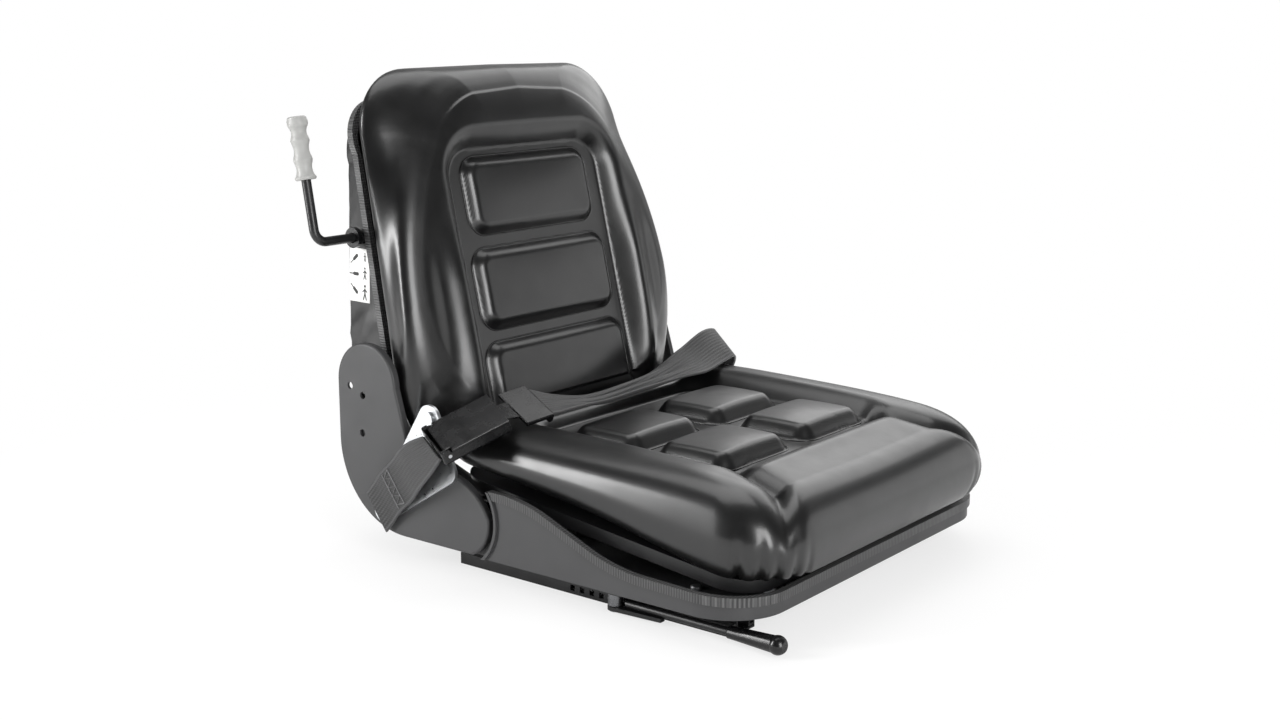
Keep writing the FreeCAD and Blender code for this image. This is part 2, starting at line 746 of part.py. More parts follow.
def seat_outline(front, rear, half, front_radius, rear_radius):
    """Return the plan of the seat cushion, front corners rounder than rear ones."""
    cut = front_radius * (1 - math.sqrt(0.5))
    nick = rear_radius * (1 - math.sqrt(0.5))
    return outline((-half + front_radius, front), (half - front_radius, front),
                   ((half - cut, front + cut), (half, front + front_radius)), (half, rear - rear_radius),
                   ((half - nick, rear - nick), (half - rear_radius, rear)), (-half + rear_radius, rear),
                   ((-half + nick, rear - nick), (-half, rear - rear_radius)), (-half, front + front_radius),
                   ((-half + cut, front + cut), (-half + front_radius, front)))


def seat_cushion():
    """The seat cushion: bolsters round a recess with four raised pads, on the seat board."""
    board = board_place(size("board_sheet") + size("seat_gap"))
    top = board_place(size("board_sheet")).multVec(Vector(0, board_length(), 0)).z
    rows = ((-208, 168, 212, board.Base.z - 2.2, top, 50, 26), (-226, 171, 221, 70, top + 10, 58, 28),
            (-236, 172, 226, 86, top + 20, 60, 28), (-238, 172, 226.6, 100, top + 29, 60, 28),
            (-234, 171, 225, 112, top + 37, 60, 28), (-222, 168, 219, 124, top + 44, 58, 27),
            (-204, 163, 206, 134, top + 50, 54, 25), (-182, 156, 190, 142, top + 53, 50, 22))
    sections = []
    for front, rear, half, front_level, rear_level, front_radius, rear_radius in rows:
        pitch = math.degrees(math.atan2(rear_level - front_level, rear - front))
        run = math.hypot(rear - front, rear_level - front_level)
        place = Placement(Vector(0, front, front_level), Rotation(Vector(1, 0, 0), pitch))
        sections.append(wire(seat_outline(0, run, broad(half), front_radius, rear_radius), place))
    cushion = Part.makeLoft(sections, True, True)
    reach = size("overall_width")
    under = Part.makeBox(2 * reach, 2 * reach, 100)
    under.Placement = board.multiply(Placement(Vector(-reach, -100, -100), Rotation()))
    cushion = cushion.cut(under)
    floor = 134
    side = broad(142)
    recess = slab(rounded(-132, 112, -side, side, 30), 60, Placement(Vector(0, 0, floor), Rotation()))
    cushion = cushion.cut(recess)
    for x in (-broad(72.6), broad(72.6)):
        for y in (-74, 38):
            place = Placement(Vector(x, y, floor - 1), Rotation(Vector(1, 0, 0), 1))
            cushion = cushion.fuse(pad_loft(-46, 46, -broad(60), broad(60), 16, place))
    feature("seat_cushion", cushion)


def back_board():
    """A pressed tray that carries the back cushion."""
    skin = size("board_sheet")
    start = size("back_foam") + 1
    rim = 6
    tray = slab(board_edges(27, -64, 266), rim, back_place(start + rim))
    hollow = slab(board_edges(27 + skin, skin - 64, 266 - skin), rim - skin + 1, back_place(start + rim + 1))
    feature("back_board", tray.cut(hollow))


def cover_loft(grow, forward):
    """Return the solid form of the back cover, grown by a distance and begun further forward."""
    rim = wire(board_edges(18 - grow, -66, 285 + grow), back_place(size("back_foam") + 4 - forward))
    upright = Rotation(Vector(1, 0, 0), 90)
    tilt = Rotation(Vector(1, 0, 0), 88.5)
    level = size("back_level")
    bulge = 331 + grow
    end = 347 + grow
    middle = wire(board_edges(20 - grow, -95 - grow, 254 + grow), Placement(Vector(0, bulge, level), tilt))
    rear = wire(board_edges(44 - grow, -98 - grow, 240 + grow), Placement(Vector(0, end, level), upright))
    return Part.makeLoft([rim, middle, rear], True, True)


def eyelet_place():
    """Return the point where the lever rod passes through the cover."""
    return Vector(-broad(203), size("lever_y"), size("lever_level"))


def back_cover():
    """The soft cover behind the back board, its edge trim, the label and the eyelet."""
    skin = size("cover_skin")
    outer = cover_loft(0, 0)
    inner = cover_loft(-skin, 6)
    shell = outer.cut(inner)
    open_half = broad(204)
    below = Part.makeBox(2 * open_half, 78, 80, Vector(-open_half, 250, 85))
    shell = shell.cut(below)
    hole = eyelet_place()
    slit = 14
    shell = shell.cut(Part.makeBox(60, slit, slit, Vector(hole.x - 30, hole.y - slit / 2, hole.z - slit / 2)))
    feature("back_cover", shell)
    depth = size("back_foam") + 2
    ring = slab(board_edges(15.5, -69, 288), 8, back_place(depth + 8))
    ring = ring.cut(slab(board_edges(22.5, -62, 281), 10, back_place(depth + 9)))
    feature("cover_edge_trim", ring.cut(outer).cut(below))
    window = Part.makeBox(40, 32, 58, Vector(-broad(230), 303, 266))
    patch = cover_loft(0.6, 0).common(window).cut(outer)
    feature("instruction_label", max(patch.Solids, key=lambda item: item.Volume))
    collar = bore(hole.x - 9, hole.y, hole.z, 11, 5)
    tube = bore(hole.x - 6, hole.y, hole.z, slit / 2 - 0.1, 12)
    passage = bore(hole.x - 10, hole.y, hole.z, size("lever_rod") / 2 + 0.8, 20)
    feature("lever_eyelet", fuse([collar, tube]).cut(passage))


def arm_place():
    """Return the swing arm shaft, roller and spring bar positions in (y, z)."""
    shaft = (size("arm_y"), size("arm_level"))
    level = size("pan_floor_level") + size("sheet") + size("roller_bore") / 2 + size("seat_gap")
    roller = (shaft[0] - size("roller_reach"), level)
    bar = (shaft[0] + size("spring_reach"), shaft[1] + size("spring_rise"))
    return shaft, roller, bar


def shell_brackets():
    """The side brackets that join seat board, back board and swing arm shaft."""
    skin = size("bracket_sheet")
    inner = bracket_half()
    shaft = arm_place()[0]
    frame = board_place()
    ahead = frame.multVec(Vector(0, 250, 0))
    behind = frame.multVec(Vector(0, board_length() + 0.6, -10.4))
    depth = size("back_foam") + 7
    low = back_point(0, -86, depth)
    high = back_point(0, 22, depth)
    far = back_point(0, 22, depth + 24)
    rim = frame.multVec(Vector(0, board_length() - 6, 0))
    under = frame.multVec(Vector(0, board_length() - 6, -10.4))
    web = side_slab(outline((ahead.y, ahead.z), (rim.y, rim.z), (under.y, under.z), (behind.y, behind.z),
                            (low.y, low.z), (high.y, high.z),
                            (far.y, far.z), (shaft[0] + 19, shaft[1]), (shaft[0], shaft[1] - 10),
                            (ahead.y, ahead.z - 14), (ahead.y, ahead.z)), -inner - skin, skin)
    boss = bore(-inner - skin, shaft[0], shaft[1], 19, skin)
    tab = Part.makeBox(16, 60, 3, Vector(-inner, 0, -3))
    tab.Placement = frame.multiply(Placement(Vector(0, 280, 0), Rotation()))
    ear = slab(rounded(-70, 10, -inner, -inner + 16, 3), 3, back_place(depth + 3))
    bracket = fuse([web, boss, tab, ear])
    bracket = bracket.cut(bore(-inner - 20, shaft[0], shaft[1],
                               size("arm_shaft") / 2 + size("running_gap"), 40))
    side_pair("shell_bracket", bracket)
    feature("arm_shaft", cross_bar(inner + skin + size("shaft_stub"), shaft[0], shaft[1], size("arm_shaft")))
    sleeve = bore(-inner - skin - 1, shaft[0], shaft[1], size("sleeve_bore") / 2, 1 - size("shaft_stub"))
    sleeve = sleeve.cut(bore(-inner, shaft[0], shaft[1], size("arm_shaft") / 2, -30))
    feature("rebound_sleeves", both_sides(sleeve))


def rebound_hooks():
    """The brackets inside the side plates that hold the shaft ends down at the rest height."""
    shaft = arm_place()[0]
    outer = size("overall_width") / 2 - size("plate_sheet")
    inner = bracket_half() + size("bracket_sheet") + 2
    skin = size("bracket_sheet")
    low = shaft[1] + size("sleeve_bore") / 2 + size("seat_gap")
    length = 28
    start = shaft[0] - length / 2
    shelf = Part.makeBox(outer - inner, length, skin, Vector(-outer, start, low))
    flange = Part.makeBox(skin, length, 30, Vector(-outer, start, low))
    rib = side_slab(outline((start + 2, low + skin), (start + length - 2, low + skin), (start + 8, low + 26),
                            (start + 2, low + 26), (start + 2, low + skin)), -outer, 14)
    feature("rebound_hooks", both_sides(fuse([shelf, flange, rib])))


def swing_arms():
    """The welded pair of arms, with roller axle, rollers and spring bar."""
    shaft, roller, bar = arm_place()
    half = size("arm_spread") / 2
    skin = size("arm_sheet")
    long_arm = side_slab(link(shaft, 17, roller, 12), -half - skin, skin)
    short_arm = side_slab(link(shaft, 17, bar, 9), -half - skin, skin)
    tube = cross_bar(half, shaft[0], shaft[1], size("arm_shaft") + 8)
    arms = fuse([tube, long_arm, short_arm, twin(long_arm), twin(short_arm)])
    arms = arms.cut(cross_bar(half + 20, shaft[0], shaft[1], size("arm_shaft") + 2 * size("running_gap")))
    arms = arms.cut(cross_bar(half + 20, roller[0], roller[1], 10.1))
    arms = arms.cut(cross_bar(half + 20, bar[0], bar[1], 10.1))
    feature("swing_arms", arms)
    out = half + skin + 1 + size("roller_width")
    axle = fuse([cross_bar(out + 1, roller[0], roller[1], 10), bore(-out - 1, roller[0], roller[1], 7, -2),
                 bore(out + 1, roller[0], roller[1], 7, 2)])
    feature("roller_axle", axle)
    feature("spring_bar", cross_bar(half + skin + 2, bar[0], bar[1], 10))
    for side, sign in SIDES:
        profile = outline((5.05, 0), (5.05, size("roller_width")), (15.5, size("roller_width")),
                          ((16.6, size("roller_width") - 0.4),
                           (size("roller_bore") / 2, size("roller_width") - 1.5)),
                          (size("roller_bore") / 2, 1.5), ((16.6, 0.4), (15.5, 0)), (5.05, 0))
        wheel = Body("arm_roller_" + side)
        wheel.turn(profile, "XY_Plane")
        low = half + skin + 1
        start = low if sign > 0 else -low - size("roller_width")
        wheel.move(Vector(start, roller[0], roller[1]), Rotation(Vector(0, 0, 1), -90))


def bump_stops():
    """The rubber buffers that meet the seat board at full travel."""
    floor = size("pan_floor_level") + size("sheet")
    for side, sign in SIDES:
        stop = Body("bump_stop_" + side)
        stop.turn(outline((0, 0), (16, 0), (16, 5), (12, 9), (12, 28), ((11, 32), (7, 33.5)), (0, 33.5),
                          (0, 0)), "XZ_Plane")
        stop.move(Vector(sign * 55, 145, floor))


def hanger_place():
    """Return the position of the spring hanger bar in (y, z)."""
    drop = size("hanger_drop")
    return (size("lever_y") + drop * 0.25, size("lever_level") - drop * 0.968)


def weight_lever():
    """The bent rod of the weight lever with its grip, cranks and bearing brackets."""
    y = size("lever_y")
    z = size("lever_level")
    out = eyelet_place().x - size("lever_clear")
    bend = size("lever_bend")
    back = math.radians(size("lever_back"))
    rise = Vector(0, math.sin(back), math.cos(back))
    corner = Vector(out, y, z)
    start = Vector(size("spring_spread") / 2 + 68, y, z)
    before = corner + Vector(bend, 0, 0)
    after = corner + rise * bend
    middle = corner + (Vector(bend, 0, 0) + rise * bend) * (1 - math.sqrt(0.5))
    top = corner + rise * (size("lever_arm") + size("grip_length") * 0.7)
    path = Part.Wire([Part.LineSegment(start, before).toShape(), Part.Arc(before, middle, after).toShape(),
                      Part.LineSegment(after, top).toShape()])
    ring = Part.Wire([Part.Circle(start, Vector(1, 0, 0), size("lever_rod") / 2).toShape()])
    feature("weight_lever_rod", path.makePipeShell([ring], True, False))
    hollow = size("lever_rod") / 2 + 0.02
    grip = Body("weight_lever_grip")
    long = size("grip_length")
    grip.turn(outline((hollow, 0), (10, 0), ((11.2, 1.5), (10, 4)), ((8.2, 11), (9.4, 18)), (10.1, 21),
                      (9.4, 24), ((7.9, 31), (9.2, 38)), (10, 41), (9.2, 44), ((8, 50), (9.8, 55)),
                      ((10.9, 59), (10.2, long - 3)), ((9.2, long - 0.6), (7, long)), (0, long),
                      (0, long * 0.7 + 1), (hollow, long * 0.7 + 1), (hollow, 0)), "XZ_Plane")
    seat = corner + rise * size("lever_arm")
    grip.move(seat, Rotation(Vector(1, 0, 0), -size("lever_back")))
    bar = hanger_place()
    half = size("spring_spread") / 2 + 28
    crank = side_slab(link((y, z), 10, bar, 8), -half, 5)
    hanger = fuse([crank, twin(crank), cross_bar(half, bar[0], bar[1], 9)])
    feature("spring_hanger", hanger.cut(cross_bar(half + 10, y, z, size("lever_rod") + 0.04)))
    face = size("back_foam") + 1 + size("board_sheet")
    low = back_point(0, 100, face)
    high = back_point(0, 150, face)
    side = size("spring_spread") / 2 + 52
    cheek = side_slab(outline((low.y, low.z), (y - 2, z - 10), (y + 9, z - 6), (y + 9, z + 6),
                              (y - 2, z + 10),
                              (high.y, high.z), (low.y, low.z)), -side, 4)
    foot = slab(rounded(100, 150, -side, 14 - side, 3), 3, back_place(face + 3))
    bearing = fuse([cheek, foot])
    passage = bore(-side - 10, y, z, size("lever_rod") / 2 + 0.05, 40)
    feature("lever_bearings", both_sides(bearing.cut(passage)))


def tension_springs():
    """The springs between the hanger bar and the swing arms, as closed coils with end hooks."""
    low = arm_place()[2]
    high = hanger_place()
    x = size("spring_spread") / 2
    wire_size = size("spring_wire")
    outer = size("spring_outer") / 2
    first = Vector(-x, low[0], low[1])
    last = Vector(-x, high[0], high[1])
    run = (last - first).normalize()
    length = (last - first).Length
    start = first + run * 24
    coil = Part.makeCylinder(outer, length - 46, start, run)
    coil = coil.cut(Part.makeCylinder(outer - wire_size, length - 54, start + run * 4, run))
    hooks = []
    for end, towards, radius in ((first, run, 5), (last, -run, 4.5)):
        ring_radius = radius + wire_size / 2 + 0.2
        hooks.append(Part.makeTorus(ring_radius, wire_size / 2, end, Vector(1, 0, 0)))
        hooks.append(Part.makeCylinder(wire_size / 2, 25 - ring_radius, end + towards * ring_radius, towards))
    spring = fuse([coil] + hooks)
    feature("tension_spring_right", spring)
    feature("tension_spring_left", twin(spring))


def release_lever():
    """The rail release: bracket, pin, latch plate with its return spring, rod and grip."""
    x = -size("latch_out")
    y = -size("latch_y")
    riser = -(size("rail_spread") + size("riser_width") - 4) / 2
    skin = size("latch_sheet")
    low = size("rail_height") / 2 - skin / 2 - 1.5
    level = 19.6
    arm = slab(rounded(y - 16, y + 16, x - 9, riser, 6), 3, Placement(Vector(0, 0, level), Rotation()))
    flange = Part.makeBox(2, 32, 8.5, Vector(riser - 2, y - 16, level))
    bracket = fuse([arm, flange]).cut(Part.makeCylinder(4.05, 20, Vector(x, y, level - 5)))
    feature("latch_bracket", bracket)
    pin = fuse([Part.makeCylinder(4, level + 3 - low + 1.5, Vector(x, y, low - 1.5)),
                Part.makeCylinder(6.5, 3, Vector(x, y, level + 3)),
                Part.makeCylinder(6, 1.2, Vector(x, y, low - 1.5))])
    feature("latch_pin", pin)
    wall = -(size("rail_spread") + size("rail_width")) / 2
    edge = wall - size("seat_gap")
    teeth = []
    count = 3
    for index in range(count):
        near = y - 22 - index * size("notch_pitch")
        teeth.append(near)
    plate = outline((x - 8, y), ((x, y + 8), (x + 8, y)), (edge - 3, y - 14), (edge - 3, y - 52),
                    (edge - 8, y - 58), (x - 4, y - 58), (x - 8, y))
    latch = slab(plate, skin, Placement(Vector(0, 0, low), Rotation()))
    for near in teeth:
        tooth = Part.makeBox(3.2, size("notch_length") - 1.5, skin, Vector(edge - 3.2, near - 4.5, low))
        latch = latch.fuse(tooth)
    latch = latch.cut(Part.makeCylinder(4.05, 20, Vector(x, y, low - 5))).removeSplitter()
    feature("latch_plate", latch)
    spring = Part.makeCylinder(7.5, level - low - skin - 1.4, Vector(x, y, low + skin + 0.7))
    feature("latch_spring", spring.cut(Part.makeCylinder(4.6, 30, Vector(x, y, low))))
    radius = size("release_rod") / 2
    axis = low + skin + radius
    start = Vector(x + 1, y - 14, axis)
    aim = Vector(0, -1, 0)
    seat = start + aim * 120
    held = 30
    feature("release_rod", rod(start, seat + aim * held, 2 * radius))
    long = size("release_grip")
    hollow = radius + 0.02
    grip = Body("release_grip")
    grip.turn(outline((hollow, 0), (radius + 1.2, 0), ((radius + 1.9, 0.4), (radius + 2.2, 2)),
                      (8.2, long - 12),
                      ((7.9, long - 3), (5, long)), (0, long), (0, held + 1), (hollow, held + 1),
                      (hollow, 0)),
              "XZ_Plane")
    grip.move(seat, Rotation(Vector(0, 0, 1), aim))


def belt_anchors():
    """The zinc-plated anchor plates on the side plates, with their bolts."""
    skin = size("bracket_sheet")
    face = -size("overall_width") / 2
    tip = (248, 54)
    lobe = (176, 165)
    corner = (152, 112)
    plate = fuse([side_slab(link(tip, 13, lobe, 14), face - skin, skin),
                  side_slab(link(tip, 13, corner, 12), face - skin, skin),
                  side_slab(link(lobe, 14, corner, 12), face - skin, skin)])
    y, z = anchor_bolt_place()
    plate = plate.cut(bore(face - 20, y, z, 5.1, 40)).cut(bore(face - 20, lobe[0], lobe[1], 5.1, 40))
    slot = side_slab(link((246, 44 + 12), 2.6, (228, 70), 2.6), face - 20, 40)
    side_pair("belt_anchor", plate.cut(slot))
    bolts = []
    reach = size("plate_fold") + skin
    for place, depth in (((y, z), reach), (lobe, skin + 1)):
        bolt = bore(face - skin, place[0], place[1], 5, depth)
        bolt = bolt.fuse(bore(face - skin, place[0], place[1], 8.5, -4))
        if place == lobe:
            bolt = bolt.fuse(bore(face, place[0], place[1], 8, 4.5))
        bolts.append(bolt.removeSplitter())
    feature("belt_bolts", Part.makeCompound(bolts + [twin(item) for item in bolts]))


def ribbon(stations, thickness):
    """Return flat webbing through stations of (centre, direction across)."""
    wires = []
    half = size("webbing_width") / 2
    for index, (centre, across) in enumerate(stations):
        before = stations[max(index - 1, 0)][0]
        after = stations[min(index + 1, len(stations) - 1)][0]
        run = (Vector(*after) - Vector(*before)).normalize()
        wide = Vector(*across).normalize()
        up = run.cross(wide).normalize() * (thickness / 2)
        wide = wide * half
        middle = Vector(*centre)
        corners = [middle - wide - up, middle + wide - up, middle + wide + up, middle - wide + up]
        wires.append(Part.makePolygon(corners + corners[:1]))
    return Part.makeLoft(wires, True, True)


def buckle_place():
    """Return the frame of the buckle: x to the tongue, y across, z off its cover."""
    run = Vector(0.799, -0.461, 0.386)
    across = Vector(0.383, 0.886, 0.264)
    return Placement(Vector(-242.8, 121.2, 168.7), Rotation(run, across, run.cross(across), "XYZ"))


def tongue_place():
    """Return the frame of the tongue in the same sense."""
    run = Vector(0.94, -0.3, 0.16)
    across = Vector(0.23, 0.9, 0.36)
    return Placement(Vector(-165.6, 108.5, 176.7), Rotation(run, across, run.cross(across), "XYZ"))


def lap_belt():
    """The lap belt: webbing tab, buckle with its lift cover and pin, tongue and lap webbing."""
    thick = size("webbing")
    long = size("buckle_length")
    wide = size("buckle_width")
    tall = size("buckle_height")
    place = buckle_place()
    lid = 3
    pin_x = 8 - long / 2
    pin_z = -lid - 0.3 - 3
    shoulder = pin_x + 4
    heel = Part.makeBox(pin_x - 1.3 + long / 2, wide, tall, Vector(-long / 2, -wide / 2, -tall))
    body = fuse([Part.makeBox(long, wide, tall - lid - 0.3, Vector(-long / 2, -wide / 2, -tall)), heel])
    body = body.makeFillet(3, [edge for edge in body.Edges if abs(edge.BoundBox.ZLength) < 0.1
                               and edge.BoundBox.ZMin < 1 - tall or edge.BoundBox.ZLength > 5])
    # the cover's edge passes over this round cheek as it lifts
    cheek_radius = math.hypot(shoulder - pin_x, -lid - pin_z) - 0.6
    cheek = Part.makeCylinder(cheek_radius, wide, Vector(pin_x, -wide / 2, pin_z), Vector(0, 1, 0))
    body = fuse([body, cheek])
    depth = long * 0.62
    mouth = Part.makeBox(depth, wide - 8, 4, Vector(long / 2 - depth + 1, 4 - wide / 2, -tall + 4))
    pin_hole = Part.makeCylinder(2.05, wide + 2, Vector(pin_x, -wide / 2 - 1, pin_z), Vector(0, 1, 0))
    notch = Part.makeBox(16, wide - 12, 3.7 - pin_z, Vector(-long / 2 + 1, 6 - wide / 2, pin_z - 3.6))
    body = body.cut(mouth).cut(pin_hole).cut(notch).removeSplitter()
    body.Placement = place
    feature("buckle_body", body)
    lug_radius = 3.2
    tail = pin_x - lug_radius
    neck = Part.makeBox(shoulder - tail, wide - 13, lid, Vector(tail, 6.5 - wide / 2, -lid))
    cover = fuse([Part.makeBox(long / 2 - 0.5 - shoulder, wide, lid,
                               Vector(shoulder, -wide / 2, -lid)), neck])
    cover = cover.makeFillet(1.2, [edge for edge in cover.Edges if edge.BoundBox.ZMin > -0.1])
    lug = Part.makeCylinder(lug_radius, wide - 13, Vector(pin_x, 6.5 - wide / 2, pin_z), Vector(0, 1, 0))
    root = Part.makeBox(5, wide - 13, 4, Vector(pin_x - 2.5, 6.5 - wide / 2, pin_z))
    cover = fuse([cover, lug, root])
    cover = cover.cut(Part.makeCylinder(2.05, wide + 2, Vector(pin_x, -wide / 2 - 1, pin_z), Vector(0, 1, 0)))
    cover.Placement = place
    feature("buckle_cover", cover)
    pin = Part.makeCylinder(2, wide, Vector(pin_x, -wide / 2, pin_z), Vector(0, 1, 0))
    pin.Placement = place
    feature("buckle_pin", pin)
    hold = tongue_place()
    plate = Part.makeBox(32, wide, 4, Vector(-16, -wide / 2, -4))
    plate = plate.makeFillet(1.5, [edge for edge in plate.Edges if edge.BoundBox.ZMin > -0.1])
    roller = Part.makeCylinder(3.6, wide, Vector(12, -wide / 2, -5), Vector(0, 1, 0))
    tongue = fuse([plate, roller])
    tongue.Placement = hold
    front = hold.multVec(Vector(-15, 0, -2.6))
    back = place.multVec(Vector(long * 0.2, 0, -tall + 6))
    blade = ribbon_blade(back, front, place, hold)
    feature("belt_tongue", fuse([tongue, blade]))
    tab_end = place.multVec(Vector(-long / 2 - 1.2, 0, -tall / 2))
    face = -size("overall_width") / 2 - size("bracket_sheet")
    slope = (0, 0.6, 0.8)
    rest = thick / 2 + size("seat_gap")
    tab = ribbon([((face - rest, 256, 51), slope), ((face - rest, 246, 62), slope),
                  ((face - 6, 230, 78), slope),
                  ((face - 12, 205, 97), slope), ((face - 22, 180, 118), (0.1, 0.64, 0.76)),
                  (tuple(tab_end), (0.383, 0.886, 0.264))], thick)
    feature("belt_tab", tab)
    reach = hold.multVec(Vector(17, 0, -2))
    face = -face
    lap = ribbon([(tuple(reach), (0.23, 0.9, 0.36)), ((-112, 102, 170), (0.1, 0.98, 0.15)),
                  ((-62, 100, 163), (0, 1, 0)), ((10, 106, 162), (0, 1, 0)), ((80, 114, 164), (0, 1, 0.1)),
                  ((135, 116, 171), (0, 0.9, 0.4)), ((190, 120, 179), (0, 0.76, 0.65)),
                  ((228, 128, 176), (0.2, 0.8, 0.56)), ((face + 9, 148, 158), (0.1, 0.76, 0.64)),
                  ((face + 14, 176, 128), (0, 0.72, 0.69)), ((face + 11, 205, 98), (0, 0.7, 0.7)),
                  ((face + rest, 244, 62), slope), ((face + rest, 256, 51), slope)], thick)
    feature("lap_webbing", lap)


def ribbon_blade(start, end, first, second):
    """Return the steel blade between buckle and tongue."""
    sections = []
    for point, place in ((start, first), (first.multVec(Vector(size("buckle_length") / 2 + 2, 0,
                          6 - size("buckle_height"))), first), (end, second)):
        across = place.Rotation.multVec(Vector(0, 1, 0)) * 14
        up = place.Rotation.multVec(Vector(0, 0, 1)) * 1
        corners = [point - across - up, point + across - up, point + across + up, point - across + up]
        sections.append(Part.makePolygon(corners + corners[:1]))
    return Part.makeLoft(sections, True, True)


def build():
    """Build every sub-part, check it and write its file."""
    fill_sheet()
    for side, sign in SIDES:
        lower_rail(side, sign)
        upper_rail(side, sign)
        rail_riser(side, sign)
    for step in (rail_hardware, release_lever, base_pan, side_plates, hinge, rebound_hooks, bump_stops,
                 seat_board, shell_brackets, swing_arms, seat_cushion, back_cushion, back_board, back_cover,
                 weight_lever, tension_springs, belt_anchors, lap_belt):
        step()
    doc.recompute()
    for node in doc.Objects:
        if "Invalid" in node.State or "Error" in node.State:
            raise ValueError("%s did not recompute" % node.Label)
    os.makedirs("parts", exist_ok=True)
    for node in parts:
        if node.Shape.isNull() or not node.Shape.isValid():
            raise ValueError("%s is not a valid solid" % node.Label)
        node.Shape.exportStep(os.path.join("parts", node.Label + ".step"))
        print(node.Label, len(node.Shape.Solids), round(node.Shape.Volume))


build()
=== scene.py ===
"""Looks of a compact suspension seat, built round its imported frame.

The frame holds every rigid piece at its real size. This script dresses those pieces, replaces the soft
ones with modelled upholstery, and adds seams, coils, weave and stitching. Lengths are written in
millimetres and turned to metres by one factor.
"""

import bisect
import logging
import math
from dataclasses import dataclass, field
from enum import Enum
from typing import Callable, Iterable, Sequence

import bmesh
import bpy
from mathutils import Matrix, Vector, noise
from mathutils.bvhtree import BVHTree


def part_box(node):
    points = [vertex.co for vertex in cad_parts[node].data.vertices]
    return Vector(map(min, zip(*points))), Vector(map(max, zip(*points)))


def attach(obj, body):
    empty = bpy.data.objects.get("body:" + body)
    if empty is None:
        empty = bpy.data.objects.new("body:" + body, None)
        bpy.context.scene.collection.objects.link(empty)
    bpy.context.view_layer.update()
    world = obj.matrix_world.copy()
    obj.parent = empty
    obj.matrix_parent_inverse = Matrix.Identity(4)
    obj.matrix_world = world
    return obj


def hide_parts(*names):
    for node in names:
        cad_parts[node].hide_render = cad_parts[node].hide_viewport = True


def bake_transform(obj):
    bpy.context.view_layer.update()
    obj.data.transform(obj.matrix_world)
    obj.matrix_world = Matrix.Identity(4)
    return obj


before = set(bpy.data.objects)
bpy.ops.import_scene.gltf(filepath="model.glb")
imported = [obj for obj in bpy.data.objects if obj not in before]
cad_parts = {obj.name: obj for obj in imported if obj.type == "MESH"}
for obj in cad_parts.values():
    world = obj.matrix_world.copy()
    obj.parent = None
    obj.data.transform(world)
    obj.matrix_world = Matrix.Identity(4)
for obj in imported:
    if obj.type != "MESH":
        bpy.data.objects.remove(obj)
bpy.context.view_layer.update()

LOG = logging.getLogger("seat")
MM = 0.001
SEAM_RADIUS = 0.8
Tree = bpy.types.NodeTree
Node = bpy.types.Node
Socket = bpy.types.NodeSocket
Piece = bpy.types.Object
Form = bmesh.types.BMesh
Place = Callable[[float, float], Vector]


def linear(code: str) -> tuple[float, float, float, float]:
    """Turn an sRGB hex colour into linear values.

    Args:
        code: six hex digits.

    Returns:
        Linear red, green, blue and full alpha.
    """
    parts = [int(code[index:index + 2], 16) / 255 for index in (0, 2, 4)]
    values = [part / 12.92 if part <= 0.04045 else ((part + 0.055) / 1.055) ** 2.4 for part in parts]
    return (values[0], values[1], values[2], 1.0)


def add(tree: Tree, kind: str, settings: dict | None = None,
        links: dict | None = None) -> Node:
    """Add a shader node with its settings and links.

    Args:
        tree: the node tree.
        kind: the node's type name without the ShaderNode prefix.
        settings: input or property values by name; a number names an input by its place.
        links: output sockets by the name or place of the input they feed.

    Returns:
        The new node.
    """
    item = tree.nodes.new("ShaderNode" + kind)
    for key, value in (settings or {}).items():
        if isinstance(key, str) and hasattr(item, key):
            setattr(item, key, value)
        else:
            item.inputs[key].default_value = value
    for key, source in (links or {}).items():
        tree.links.new(source, item.inputs[key])
    return item


class Coordinates(Enum):
    """Where a pattern takes its place from."""

    OBJECT = "Object"
    UV = "UV"


